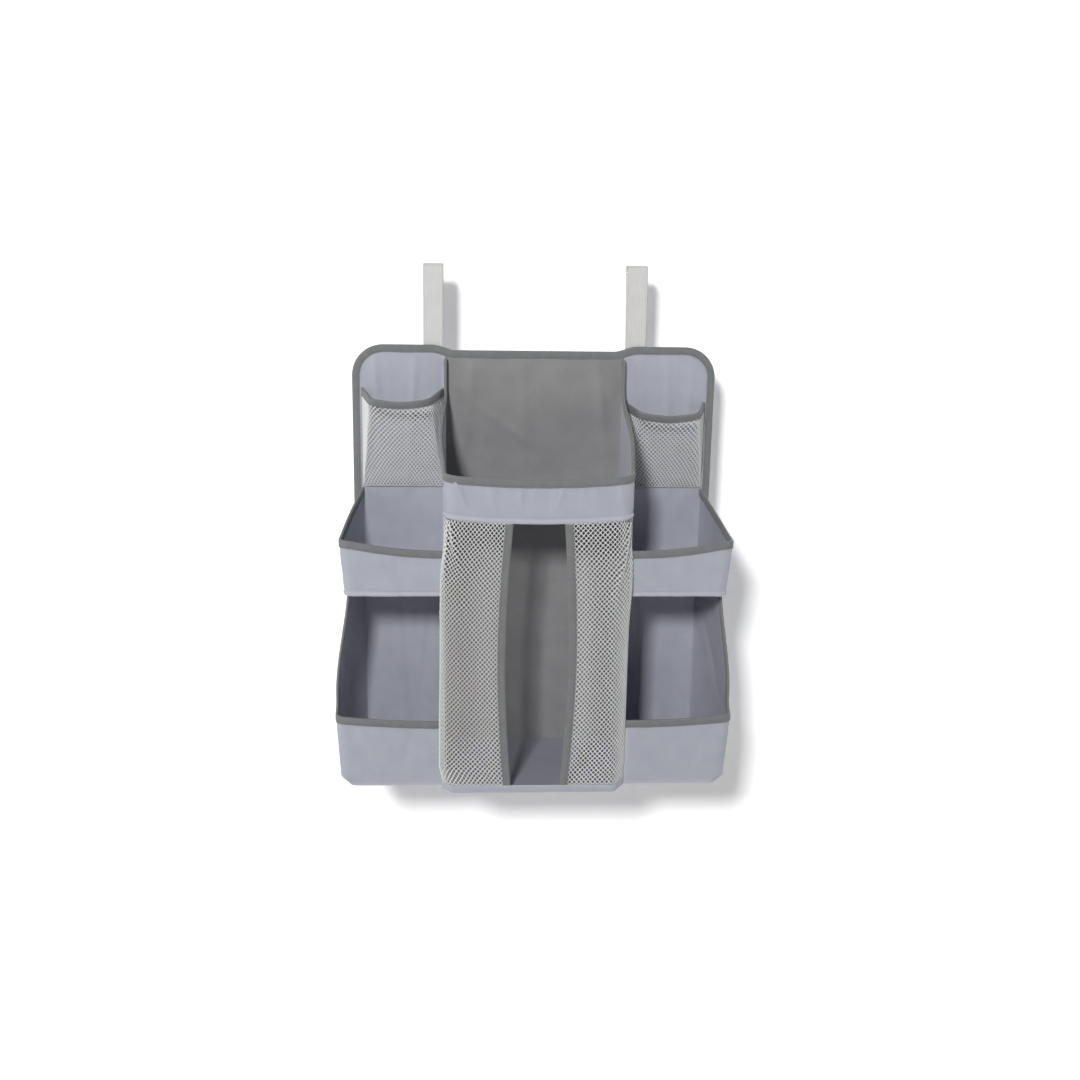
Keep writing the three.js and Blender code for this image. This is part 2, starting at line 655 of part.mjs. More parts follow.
function diaperCompartment() {
  const lipBack = [dividerHalf, sideDepth + fitGap];
  const lipCorner = [netFrontHalf, centreDepth];
  const lipLine = [
    [-lipBack[0], -lipBack[1]], [-lipCorner[0], -lipCorner[1]],
    [lipCorner[0], -lipCorner[1]], [lipBack[0], -lipBack[1]],
  ];
  const lipSpans = lipLine.length - 1;
  const lip = (u, v) => {
    const k = Math.min(Math.floor(u), lipSpans - 1);
    const share = u - k;
    return vector(
      mix(lipLine[k][0], lipLine[k + 1][0], share), mix(lipLine[k][1], lipLine[k + 1][1], share), v,
    );
  };
  const lipFolds = [0, 1, lipSpans / 2, lipSpans - 1, lipSpans];
  add("diaper_front_lip", sheet(lip, lipFolds, [0, lipHeight], cloth), lilac);

  const inside = dividerHalf - halfCloth - fitGap;
  const chamfer = halfCloth + fitGap + tape;
  const plan = [
    [-inside, panelFace], [-inside, -lipBack[1]], [-lipCorner[0], -lipCorner[1] + chamfer],
    [lipCorner[0], -lipCorner[1] + chamfer], [inside, -lipBack[1]], [inside, panelFace],
  ];
  floorWithBoard("diaper", plan, 0);

  const foot = lipHeight + sewGap;
  const topAt = (x) => centreTrayBottom + centreLift(x) - sewGap;
  const curtainHeight = centreTrayBottom - foot;
  const slitAt = (height) => slitHalf + slitBow * Math.sin(Math.PI * (height - foot) / curtainHeight);
  for (const [name, side] of [["left", -1], ["right", 1]]) {
    const outer = netFrontHalf - netCornerGap;
    const curtain = (u, v) => {
      const top = topAt(mix(outer, slitHalf, u));
      const height = mix(foot, top, v);
      return [side * mix(outer, slitAt(height), u), height];
    };
    const place = side < 0 ? curtain : (u, v) => curtain(1 - u, v);
    const plane = netPlane(vector(0, -centreDepth, 0), vector(1, 0, 0), vector(0, 0, 1));
    add(`${name}_curtain_net`, netOf(place, outer - slitHalf, curtainHeight, curtainGrid, plane), whiteNet);

    const top = topAt(slitHalf);
    const stations = steps(foot, top, 2 * spanSteps).map((height) => ({
      at: vector(side * slitAt(height), -centreDepth, height), normal: vector(0, -1, 0),
    }));
    stations[0].into = vector(side, 0, 0);
    stations[stations.length - 1].into = vector(side, 0, 0);
    add(`${name}_curtain_binding`, boundEdge(stations, net, vector(side, 0, 0)), greyTape);

    const seam = vector(side * dividerHalf, -sideDepth - netCornerGap, 0);
    const fold = vector(side * netFrontHalf, -centreDepth + netCornerGap, 0);
    const across = fold.clone().sub(seam);
    const cornerHeight = centreTrayBottom + centreLift(netFrontHalf) - sewGap - foot;
    const cornerPlane = netPlane(seam, across, vector(0, 0, 1));
    const corner = (u, v) => [u * across.length(), foot + v * cornerHeight];
    const cornerNet = netOf(corner, across.length(), cornerHeight, cornerGrid, cornerPlane);
    add(`${name}_corner_net`, cornerNet, whiteNet);
  }
}

// A net pouch on the panel: a front net that leans out to the mouth, and a net at each side
function pocket(name, side, mouth) {
  const backDepth = -panelFace + sewGap;
  const footDepth = backDepth + pocketFootDepth;
  const footShare = (footDepth - backDepth) / (pocketDepth - backDepth);
  const inner = { back: pocketInnerBack, front: pocketInnerFront };
  const outer = { back: pocketOuterBack, front: pocketOuterFront };
  const brim = (edge) => vector(side * edge.front, -pocketDepth, mouth);
  const sill = (edge) => vector(side * mix(edge.back, edge.front, footShare), -footDepth, pocketBottom);
  const brimWidth = outer.front - inner.front;
  const rise = vector(0, -pocketDepth + footDepth, mouth - pocketBottom);

  const left = side < 0 ? outer : inner;
  const right = side < 0 ? inner : outer;
  const corner = sill(left);
  const level = vector(1, 0, 0);
  const leftRun = brim(left).x - sill(left).x;
  const rightRun = brim(right).x - sill(right).x;
  const sillWidth = sill(right).x - sill(left).x;
  const front = (u, v) => {
    const height = v * (rise.length() - mouthSag * Math.sin(Math.PI * u));
    const share = height / rise.length();
    const from = leftRun * share + netCornerGap;
    const to = sillWidth + rightRun * share - netCornerGap;
    return [mix(from, to, u), height];
  };
  const leaning = netPlane(corner, level, rise);
  add(`${name}_pocket_front_net`, netOf(front, brimWidth, rise.length(), pocketFrontGrid, leaning), whiteNet);

  const reachOf = (edge) => vector(side * (edge.front - edge.back), -(pocketDepth - backDepth), 0);
  for (const [part, edge] of [["inner", inner], ["outer", outer]]) {
    const rear = vector(side * edge.back, -backDepth, pocketBottom);
    const along = reachOf(edge);
    const reach = along.length();
    const wall = netPlane(rear, along, vector(0, 0, 1));
    const place = (u, v) => {
      const height = v * (mouth - pocketBottom);
      const width = mix(footShare, 1, v) * reach - 2 * netCornerGap;
      return [u * width, height + v * mouthEndLift * (1 - u)];
    };
    const sideNet = netOf(place, reach, mouth - pocketBottom, pocketSideGrid, wall);
    add(`${name}_pocket_${part}_net`, sideNet, whiteNet);
  }

  // The mouth's binding: along the inner side, the front and the outer side, with mitred corners
  const sideNormal = (edge, sign) => {
    const along = reachOf(edge);
    return vector(-along.y, along.x, 0).normalize().multiplyScalar(sign);
  };
  const frontNormal = level.clone().cross(rise).normalize();
  const down = rise.clone().normalize().negate();
  const innerNormal = sideNormal(inner, -side);
  const outerNormal = sideNormal(outer, side);
  const miter = (a, b) => {
    const middle = a.clone().add(b).normalize();
    return middle.multiplyScalar(1 / middle.dot(a));
  };
  const end = (edge, normal) => ({
    at: vector(side * edge.back, -backDepth, mouth + mouthEndLift),
    normal: vector(1 / normal.x, 0, 0),
    into: vector(0, 0, -1),
  });
  const fold = (edge, normal) => ({
    at: brim(edge), normal: miter(normal, frontNormal), into: sill(edge).sub(brim(edge)).normalize(),
  });
  const sag = steps(0, 1, spanSteps).slice(1, -1).map((t) => ({
    at: brim(inner).lerp(brim(outer), t).addScaledVector(down, mouthSag * Math.sin(Math.PI * t)),
    normal: frontNormal.clone(),
    into: down.clone(),
  }));
  const stations = [
    end(inner, innerNormal), fold(inner, innerNormal), ...sag,
    fold(outer, outerNormal), end(outer, outerNormal),
  ];
  add(`${name}_pocket_binding`, boundEdge(stations, net, vector(0, 0, -1)), greyTape);
}

// A ribbon's profile: its centre line, thickened evenly, as a closed outline of depth and height
function ribbon(line, thickness) {
  const offset = (side) => line.map((point, i) => {
    const before = line[Math.max(i - 1, 0)];
    const after = line[Math.min(i + 1, line.length - 1)];
    const along = new THREE.Vector2(after[0] - before[0], after[1] - before[1]).normalize();
    const turn = i > 0 && i < line.length - 1
      ? along.dot(new THREE.Vector2(after[0] - point[0], after[1] - point[1]).normalize()) : 1;
    const reach = side * thickness / 2 / turn;
    return [point[0] - along.y * reach, point[1] + along.x * reach];
  });
  return shapeOf([...offset(1), ...offset(-1).reverse()]);
}

function strap(name, side) {
  const centre = side * strapHalf;
  const anchor = shapeOf([
    [-strapFront, anchorBottom], [-strapFront, hingeHeight - fitGap],
    [-strapFront - webbing, hingeHeight - fitGap], [-strapFront - webbing, anchorBottom],
  ]);
  add(`${name}_strap_anchor`, sideways(anchor, centre, webbingWidth), webbingWhite);

  const top = loopTop - webbing / 2;
  const bend = (depth, from, to) => steps(from, to, arcSteps).map((angle) => [
    depth + loopRadius * Math.cos(angle), top - loopRadius + loopRadius * Math.sin(angle),
  ]);
  const loop = [
    [strapPlane, hingeHeight], ...bend(strapPlane + loopRadius, Math.PI, Math.PI / 2),
    ...bend(loopRear - loopRadius, Math.PI / 2, 0), [loopRear, strapEnd],
  ].map(([depth, height]) => [-depth, height]);
  add(`${name}_strap`, sideways(ribbon(loop, webbing), centre, webbingWidth), webbingWhite);

  const patchPlane = strapFront + webbing;
  const hookPlane = patchPlane + patch + fitGap;
  const tailPlane = hookPlane + patch + webbing / 2;
  const start = new THREE.Vector2(loopRear, strapEnd - fitGap);
  const knee = new THREE.Vector2(tailPlane, tailBend);
  const enter = knee.clone().add(start.clone().sub(knee).setLength(tailBendRadius));
  const leave = knee.clone().sub(new THREE.Vector2(0, tailBendRadius));
  const round = new THREE.QuadraticBezierCurve(enter, knee, leave).getPoints(arcSteps);
  const line = [start, ...round, new THREE.Vector2(tailPlane, tailBottom)].map((p) => [-p.x, p.y]);
  add(`${name}_strap_tail`, sideways(ribbon(line, webbing), centre, webbingWidth), webbingWhite);

  const pad = (plane) => shapeOf([
    [-plane, patchBottom], [-plane, patchBottom + patchLength - loopRadius],
    [-plane - patch, patchBottom + patchLength - loopRadius], [-plane - patch, patchBottom],
  ]);
  add(`${name}_loop_patch`, sideways(pad(patchPlane), centre, patchWidth), hookGrey);
  add(`${name}_hook_patch`, sideways(pad(hookPlane), centre, patchWidth), hookGrey);
}

backPanel();
centreTray();
diaperCompartment();
for (const [name, side] of [["left", -1], ["right", 1]]) {
  sideTray(`${name}_tray`, side);
  cubby(`${name}_cubby`, side);
  pocket(name, side, pocketMouth[name]);
  strap(name, side);
}

export default caddy;
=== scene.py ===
# The diaper caddy, hung: its cloth, tape, net and webbing shaped over the CAD frame.
# Shapes are worked out in millimetres in the panel's own space: x across, y to the rear of the
# panel's rear face, z up from its base. place() sets a point in the frame, in metres.
import json
import math

import bmesh
import bpy
from mathutils import Matrix, Quaternion, Vector, noise

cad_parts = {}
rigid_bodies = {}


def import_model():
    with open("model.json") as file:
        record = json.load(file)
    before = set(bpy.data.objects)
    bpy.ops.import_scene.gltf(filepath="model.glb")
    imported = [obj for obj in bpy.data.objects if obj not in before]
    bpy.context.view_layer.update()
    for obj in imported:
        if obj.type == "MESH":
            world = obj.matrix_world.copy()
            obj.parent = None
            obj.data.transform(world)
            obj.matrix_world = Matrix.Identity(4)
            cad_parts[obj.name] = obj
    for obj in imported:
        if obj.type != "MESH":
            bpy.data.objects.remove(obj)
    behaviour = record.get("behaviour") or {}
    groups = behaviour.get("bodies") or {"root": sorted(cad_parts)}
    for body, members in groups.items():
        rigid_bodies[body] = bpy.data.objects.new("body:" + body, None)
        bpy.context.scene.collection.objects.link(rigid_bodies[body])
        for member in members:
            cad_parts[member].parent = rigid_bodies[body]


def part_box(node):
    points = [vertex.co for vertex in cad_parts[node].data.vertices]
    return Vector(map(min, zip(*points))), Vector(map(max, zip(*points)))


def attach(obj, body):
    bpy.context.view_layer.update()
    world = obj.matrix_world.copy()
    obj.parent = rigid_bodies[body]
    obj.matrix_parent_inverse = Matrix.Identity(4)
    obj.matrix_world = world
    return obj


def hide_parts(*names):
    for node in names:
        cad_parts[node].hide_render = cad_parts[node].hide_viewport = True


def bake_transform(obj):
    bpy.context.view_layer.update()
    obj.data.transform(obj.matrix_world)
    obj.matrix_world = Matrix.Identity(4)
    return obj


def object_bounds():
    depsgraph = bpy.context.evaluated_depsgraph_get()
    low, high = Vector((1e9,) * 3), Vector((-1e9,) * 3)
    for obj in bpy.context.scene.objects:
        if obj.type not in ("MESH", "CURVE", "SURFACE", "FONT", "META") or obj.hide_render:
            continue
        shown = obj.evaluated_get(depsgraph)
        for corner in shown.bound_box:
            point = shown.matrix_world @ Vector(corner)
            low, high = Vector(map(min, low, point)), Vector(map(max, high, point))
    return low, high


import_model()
cadLow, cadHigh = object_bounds()
rearLow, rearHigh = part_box("rear_cloth")

scene = bpy.context.scene
mm = 0.001
cloth = 1.2
lining = 0.9
base = 0.3
dividerHalf = 112.0
sideDepth = 142.0
centreDepth = 165.0
sides = (("left", -1), ("right", 1))
forwards = Vector((0, -1, 0))
downwards = Vector((0, 0, -1))


def place(p):
    return Vector((p.x * mm, rearHigh.y + p.y * mm, rearLow.z + p.z * mm))


def spot(x, depth, z):
    return Vector((x, -depth, z))


def mix(a, b, t):
    return a + (b - a) * t


def clamp(t):
    return min(max(t, 0.0), 1.0)


def ease(t):
    t = clamp(t)
    return t * t * (3 - 2 * t)


# 0 at both ends of a run from 0 to 1, rising to 1 at the two rates
def within(t, low, high):
    return clamp(min(t * low, (1 - t) * high))


# A share counted from left to right, as one counted away from the middle column
def outwards(u, side):
    return u if side > 0 else 1 - u


def srgb(r, g, b):
    def linear(c):
        c /= 255
        return c / 12.92 if c <= 0.04045 else ((c + 0.055) / 1.055) ** 2.4

    return (linear(r), linear(g), linear(b), 1.0)


# Camera, matched to the photograph
cameraSettings = {
    "target": Vector((0.0065, -0.0853, -0.3314)),
    "azimuth": -3.3,
    "elevation": 15.2,
    "roll": 1.0,
    "distance": 1.7,
    "lens": 45.27,
    "sensor": 36.0,
}


# Puts a camera or a lamp at its angles and distance from the target, facing it
def aim(thing, target, settings):
    a = math.radians(settings["azimuth"])
    e = math.radians(settings["elevation"])
    back = Vector((math.sin(a) * math.cos(e), -math.cos(a) * math.cos(e), math.sin(e)))
    roll = Quaternion((0, 0, 1), math.radians(settings.get("roll", 0.0)))
    thing.location = target + back * settings["distance"]
    thing.rotation_mode = "QUATERNION"
    thing.rotation_quaternion = (-back).to_track_quat("-Z", "Y") @ roll
    scene.collection.objects.link(thing)


def setCamera(settings):
    data = bpy.data.cameras.new("camera")
    data.sensor_fit = "HORIZONTAL"
    data.sensor_width = settings["sensor"]
    data.lens = settings["lens"]
    data.clip_start = 0.05
    data.clip_end = 50
    scene.camera = bpy.data.objects.new("camera", data)
    aim(scene.camera, settings["target"], settings)


setCamera(cameraSettings)


# Material helpers


def feed(tree, socket, value):
    if isinstance(value, bpy.types.NodeSocket):
        tree.links.new(value, socket)
    else:
        socket.default_value = value


def addNode(tree, kind, values=None, **attributes):
    made = tree.nodes.new(kind)
    for key, value in attributes.items():
        setattr(made, key, value)
    for key, value in (values or {}).items():
        feed(tree, made.inputs[key], value)
    return made


def maths(tree, operation, a, b=0.0):
    return addNode(tree, "ShaderNodeMath", {0: a, 1: b}, operation=operation).outputs[0]


def stretch(tree, value, low, high, toLow, toHigh):
    values = {"Value": value, "From Min": low, "From Max": high, "To Min": toLow, "To Max": toHigh}
    return addNode(tree, "ShaderNodeMapRange", values).outputs[0]


# Noise keeps to the middle of its range, and this spreads it over the whole of another
def spread(tree, value, low, high):
    return stretch(tree, value, 0.3, 0.7, low, high)


def blendColours(tree, factor, a, b, kind="MIX"):
    values = {0: factor, 6: a, 7: b}
    return addNode(tree, "ShaderNodeMix", values, data_type="RGBA", blend_type=kind).outputs[2]


# Paints shade into a colour: makes it darker, down to the least share of it where the mask is 0
def shadeHollows(tree, colour, mask, least):
    shade = stretch(tree, mask, 0.0, 1.0, least, 1.0)
    return blendColours(tree, 1.0, colour, shade, "MULTIPLY")


def addBump(tree, height, strength, distance, **more):
    values = {"Height": height, "Strength": strength, "Distance": distance, **more}
    return addNode(tree, "ShaderNodeBump", values).outputs[0]


def noiseOf(tree, where, scale, detail, **more):
    values = {"Vector": where, "Scale": scale, "Detail": detail, **more}
    return addNode(tree, "ShaderNodeTexNoise", values).outputs[0]


def flatPlace(tree):
    return addNode(tree, "ShaderNodeUVMap", uv_map="cloth").outputs[0]


def objectPlace(tree):
    return addNode(tree, "ShaderNodeTexCoord").outputs["Object"]


def wornEdges(tree):
    return addNode(tree, "ShaderNodeAttribute", attribute_name="wear").outputs["Fac"]


def addSocket(tree, label, way, kind="NodeSocketFloat"):
    return tree.interface.new_socket(name=label, in_out=way, socket_type=kind)


# A node group with a Vector and named numbers going in, and named masks coming out
def newGroup(name, numbers, masks):
    tree = bpy.data.node_groups.new(name, "ShaderNodeTree")
    addSocket(tree, "Vector", "INPUT", "NodeSocketVector")
    for label, value in numbers.items():
        addSocket(tree, label, "INPUT").default_value = value
    for label in masks:
        addSocket(tree, label, "OUTPUT")
    into = tree.nodes.new("NodeGroupInput").outputs
    return tree, into, tree.nodes.new("NodeGroupOutput").inputs


def weaveGroup():
    tree, into, out = newGroup("weave", {"Pitch": 0.0005, "Skew": 0.0}, ["Height"])
    x, y = addNode(tree, "ShaderNodeSeparateXYZ", {0: into["Vector"]}).outputs[:2]
    turns = maths(tree, "DIVIDE", math.pi, into["Pitch"])
    across = maths(tree, "SINE", maths(tree, "MULTIPLY", x, turns))
    skewed = maths(tree, "ADD", y, maths(tree, "MULTIPLY", x, into["Skew"]))
    along = maths(tree, "SINE", maths(tree, "MULTIPLY", skewed, turns))
    both = maths(tree, "MULTIPLY", across, along)
    half = addNode(tree, "ShaderNodeMath", {0: both, 1: 0.5, 2: 0.5}, operation="MULTIPLY_ADD")
    feed(tree, out["Height"], half.outputs[0])
    return tree


def mottleGroup():
    tree, into, out = newGroup("mottle", {"Broad": 30.0, "Fine": 900.0}, ["Broad", "Fine"])
    for label, detail in (("Broad", 4.0), ("Fine", 2.0)):
        found = noiseOf(tree, into["Vector"], into[label], detail, Roughness=0.55)
        feed(tree, out[label], found)
    return tree


def ribGroup():
    tree, into, out = newGroup("ribs", {"Rib": 0.0016, "Pick": 0.0009}, ["Height", "Groove"])
    x, y = addNode(tree, "ShaderNodeSeparateXYZ", {0: into["Vector"]}).outputs[:2]
    ribTurns = maths(tree, "DIVIDE", math.pi, into["Rib"])
    rib = maths(tree, "ABSOLUTE", maths(tree, "SINE", maths(tree, "MULTIPLY", x, ribTurns)))
    pickTurns = maths(tree, "DIVIDE", 2 * math.pi, into["Pick"])
    lean = maths(tree, "MULTIPLY", rib, 0.8)
    phase = maths(tree, "ADD", maths(tree, "MULTIPLY", y, pickTurns), lean)
    pick = maths(tree, "MULTIPLY", maths(tree, "SINE", phase), 0.22)
    feed(tree, out["Height"], maths(tree, "ADD", rib, pick))
    # Groove is 0 in the grooves of the ribs, a mask for painted shade
    feed(tree, out["Groove"], maths(tree, "POWER", rib, 0.5))
    return tree


weave = weaveGroup()
mottle = mottleGroup()
ribs = ribGroup()


def useGroup(tree, group, values):
    return addNode(tree, "ShaderNodeGroup", values, node_tree=group).outputs


def mottled(tree, where, broad, fine):
    return useGroup(tree, mottle, {"Vector": where, "Broad": broad, "Fine": fine})


def newMaterial(name):
    material = bpy.data.materials.new(name)
    material.use_nodes = True
    return material, material.node_tree


def setShader(tree, values):
    shader = tree.nodes["Principled BSDF"]
    for key, value in values.items():
        feed(tree, shader.inputs[key], value)
    return shader


# Woven cloth: fine weave, soft mottling and slightly paler, rubbed folds and edges; the weave's
# hollows are painted darker, as painted shade
def clothMaterial(name, settings):
    material, tree = newMaterial(name)
    dark, light, speckled, rubbed = (srgb(*colour) for colour in settings["colours"])
    uv = flatPlace(tree)
    spots = mottled(tree, uv, settings["broad"], settings["fine"])
    values = {"Vector": uv, "Pitch": settings["pitch"], "Skew": settings["skew"]}
    threads = useGroup(tree, weave, values)["Height"]
    colour = blendColours(tree, spread(tree, spots["Broad"], 0.0, 1.0), dark, light)
    fine = spread(tree, spots["Fine"], 0.0, settings["speckle"])
    colour = blendColours(tree, fine, colour, speckled)
    patchy = stretch(tree, spots["Fine"], 0.35, 0.65, 0.2, 1.0)
    worn = maths(tree, "MULTIPLY", wornEdges(tree), patchy)
    colour = blendColours(tree, maths(tree, "MULTIPLY", worn, settings["rub"]), colour, rubbed)
    # painted shade: the weave's hollows are made darker by the gap share
    colour = shadeHollows(tree, colour, threads, 1 - settings["gap"])
    rough = settings["rough"]
    soft = addBump(tree, spots["Broad"], 0.35, settings["softness"])
    values = {
        "Base Color": colour,
        "Roughness": spread(tree, spots["Broad"], rough - 0.05, rough + 0.05),
        "Sheen Weight": settings["sheen"],
        "Sheen Roughness": 0.4,
        "Specular IOR Level": settings["specular"],
        "Normal": addBump(tree, threads, 0.5, settings["pitch"] * 0.25, Normal=soft),
    }
    setShader(tree, values)
    return material


# Colours are dark, light, speckled and rubbed; pitch is the weave's, in metres
# gap is the share of painted shade in the weave's hollows
lilacSettings = {
    "colours": [(166, 168, 181), (176, 178, 189), (187, 189, 198), (208, 208, 214)],
    "speckle": 0.35,
    "rub": 0.7,
    "gap": 0.08,
    "rough": 0.52,
    "sheen": 0.12,
    "specular": 0.4,
    "pitch": 0.00042,
    "skew": 0.0,
    "broad": 38.0,
    "fine": 1400.0,
    "softness": 0.0006,
}
# A darker copy of the lilac cloth, as painted shade, for the rear cloth and the floors
shadedLilacSettings = {
    "colours": [(150, 152, 165), (160, 162, 174), (170, 172, 182), (182, 184, 192)],
    "speckle": 0.35,
    "rub": 0.3,
    "gap": 0.1,
    "rough": 0.6,
    "sheen": 0.1,
    "specular": 0.35,
    "pitch": 0.0005,
    "skew": 0.0,
    "broad": 30.0,
    "fine": 1200.0,
    "softness": 0.0006,
}
liningSettings = {
    **shadedLilacSettings,
    "colours": [(132, 132, 133), (146, 146, 147), (158, 158, 158), (172, 172, 172)],
    "speckle": 0.3,
    "rub": 0.25,
    "broad": 26.0,
    "softness": 0.0008,
}
tapeClothSettings = {
    "colours": [(119, 120, 121), (132, 133, 134), (145, 146, 146), (150, 151, 151)],
    "speckle": 0.45,
    "rub": 0.5,
    "gap": 0.22,
    "rough": 0.78,
    "sheen": 0.2,
    "specular": 0.25,
    "pitch": 0.0007,
    "skew": 1.0,
    "broad": 90.0,
    "fine": 1500.0,
    "softness": 0.0003,
}


def threadMaterial(name, dark, light, broad, sheen):
    material, tree = newMaterial(name)
    fine = mottled(tree, objectPlace(tree), broad, 2500.0)["Fine"]
    values = {
        "Base Color": blendColours(tree, fine, dark, light),
        "Roughness": 0.6,
        "Sheen Weight": sheen,
        "Normal": addBump(tree, fine, 0.4, 0.0001),
    }
    setShader(tree, values)
    return material


# Net yarn: white and mottled, with painted shade in the hollows of its twist
def yarnMaterial():
    material, tree = newMaterial("netYarn")
    uv = flatPlace(tree)
    spots = mottled(tree, uv, 45.0, 2200.0)
    threads = useGroup(tree, weave, {"Vector": uv, "Pitch": 0.00035, "Skew": 0.6})["Height"]
    colour = blendColours(tree, spots["Broad"], srgb(234, 234, 233), srgb(246, 246, 244))
    values = {
        # painted shade in the yarn's hollows
        "Base Color": shadeHollows(tree, colour, threads, 0.86),
        "Roughness": spread(tree, spots["Fine"], 0.62, 0.78),
        "Sheen Weight": 0.15,
        "Normal": addBump(tree, threads, 0.6, 0.00012),
    }
    setShader(tree, values)
    return material


def webbingMaterial():
    material, tree = newMaterial("webbing")
    uv = flatPlace(tree)
    lines = useGroup(tree, ribs, {"Vector": uv, "Rib": 0.0021, "Pick": 0.0011})
    spots = mottled(tree, uv, 55.0, 1800.0)
    colour = blendColours(tree, spots["Broad"], srgb(216, 215, 214), srgb(227, 226, 224))
    # painted shade in the grooves of the ribs
    colour = shadeHollows(tree, colour, lines["Groove"], 0.84)
    patchy = stretch(tree, spots["Broad"], 0.35, 0.65, 0.1, 0.5)
    soiled = maths(tree, "MULTIPLY", wornEdges(tree), patchy)
    values = {
        "Base Color": blendColours(tree, soiled, colour, srgb(186, 184, 180)),
        "Roughness": spread(tree, spots["Fine"], 0.66, 0.82),
        "Sheen Weight": 0.15,
        "Normal": addBump(tree, lines["Height"], 0.7, 0.00035),
    }
    setShader(tree, values)
    return material


def bristleMaterial():
    material, tree = newMaterial("hookAndLoop")
    uv = flatPlace(tree)
    values = {"Vector": uv, "Scale": 1100.0, "Randomness": 0.7}
    away = addNode(tree, "ShaderNodeTexVoronoi", values).outputs["Distance"]
    spots = mottled(tree, uv, 70.0, 2400.0)
    colour = blendColours(tree, spots["Broad"], srgb(214, 214, 212), srgb(228, 228, 226))
    # painted shade: darker away from each hook's centre, in the hollows of the pile
    hookShade = stretch(tree, away, 0.0, 0.8, 1.0, 0.7)
    values = {
        "Base Color": blendColours(tree, 1.0, colour, hookShade, "MULTIPLY"),
        "Roughness": 0.9,
        "Sheen Weight": 0.4,
        "Normal": addBump(tree, maths(tree, "SUBTRACT", 1.0, away), 0.9, 0.0006),
    }
    setShader(tree, values)
    return material


def boardMaterial():
    material, tree = newMaterial("paperboard")
    spots = mottled(tree, objectPlace(tree), 25.0, 700.0)
    colour = blendColours(tree, spots["Broad"], srgb(176, 158, 130), srgb(192, 176, 148))
    flecks = maths(tree, "MULTIPLY", spots["Fine"], 0.3)
    values = {
        "Base Color": blendColours(tree, flecks, colour, srgb(150, 132, 104)),
        "Roughness": 0.9,
        "Normal": addBump(tree, spots["Fine"], 0.3, 0.0002),
    }
    setShader(tree, values)
    return material


lilacCloth = clothMaterial("lilacCloth", lilacSettings)
shadedLilacCloth = clothMaterial("shadedLilacCloth", shadedLilacSettings)
greyLining = clothMaterial("greyLining", liningSettings)
greyTape = clothMaterial("greyTape", tapeClothSettings)
stitchThread = threadMaterial("stitchThread", srgb(84, 85, 87), srgb(112, 113, 114), 60.0, 0.2)
stitchWhite = threadMaterial("whiteThread", srgb(186, 186, 184), srgb(214, 214, 211), 80.0, 0.0)
netYarn = yarnMaterial()
webbingCloth = webbingMaterial()
bristles = bristleMaterial()
paperboard = boardMaterial()
print("materials made")


# Shaping helpers


def runOf(points):
    return sum((b - a).length for a, b in zip(points, points[1:]))


def lengthOf(curve, count=80):
    return runOf([curve(i / count) for i in range(count + 1)])


def spans(surface):
    return lengthOf(lambda t: surface(t, 0.5)), lengthOf(lambda t: surface(0.5, t))


def normalOf(surface, u, v, step=0.002):
    along = surface(min(u + step, 1.0), v) - surface(max(u - step, 0.0), v)
    up = surface(u, min(v + step, 1.0)) - surface(u, max(v - step, 0.0))
    return along.cross(up).normalized()


def areaOf(surface, count=40):
    total = 0.0
    for i in range(count):
        for j in range(count):
            a = surface(i / count, j / count)
            b = surface((i + 1) / count, j / count)
            c = surface((i + 1) / count, (j + 1) / count)
            d = surface(i / count, (j + 1) / count)
            total += ((c - a).cross(d - b)).length / 2
    return total


# Slow waves of slack cloth, as a share of their height at (a, b) millimetres
def waves(a, b, scaleA, scaleB, seed):
    return noise.noise(Vector((a / scaleA, b / scaleB, seed)))


# Height of soft ridges, each [a, b, a, b, height, half width], that fade towards both ends
def ridges(a, b, lines):
    total = 0.0
    for a0, b0, a1, b1, height, half in lines:
        da, db = a1 - a0, b1 - b0
        run = math.hypot(da, db)
        t = ((a - a0) * da + (b - b0) * db) / (run * run)
        away = ((a - a0) * db - (b - b0) * da) / run
        if 0 < t < 1 and abs(away) < 4 * half:
            total += height * math.exp(-((away / half) ** 2)) * math.sin(math.pi * t) ** 0.7
    return total


# The small gathers that a seam pulls into cloth, fading away from it
def puckers(a, fromEdge, amount, pitch, reach, seed):
    return amount * waves(a, 0.0, pitch, 10.0, seed) * math.exp(-fromEdge / reach)


# The rounded roll of a turned hem along a sheet's foot, with the dent of its seam above it
def hemBead(b, height=5.0, out=0.9):
    if b < height:
        return out * math.sin(math.pi * b / height) ** 0.8
    return -0.45 * math.exp(-(((b - height - 1.0) / 1.6) ** 2))


def bezier(a, b, c, t):
    return a * (1 - t) ** 2 + b * 2 * t * (1 - t) + c * t**2


def finishPiece(name, bm, materials, replaced, body="caddy", angle=40):
    mesh = bpy.data.meshes.new(name)
    bm.to_mesh(mesh)
    bm.free()
    mesh.shade_smooth()
    mesh.set_sharp_from_angle(angle=math.radians(angle))
    for material in materials:
        mesh.materials.append(material)
    piece = bpy.data.objects.new(name, mesh)
    scene.collection.objects.link(piece)
    if body:
        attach(piece, body)
    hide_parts(*replaced)
    return piece


def newGrid(columns, rows):
    bm = bmesh.new()
    bmesh.ops.create_grid(bm, x_segments=columns, y_segments=rows, size=0.5)
    return bm


def addLayers(bm):
    return bm.loops.layers.uv.new("cloth"), bm.verts.layers.float.new("wear")


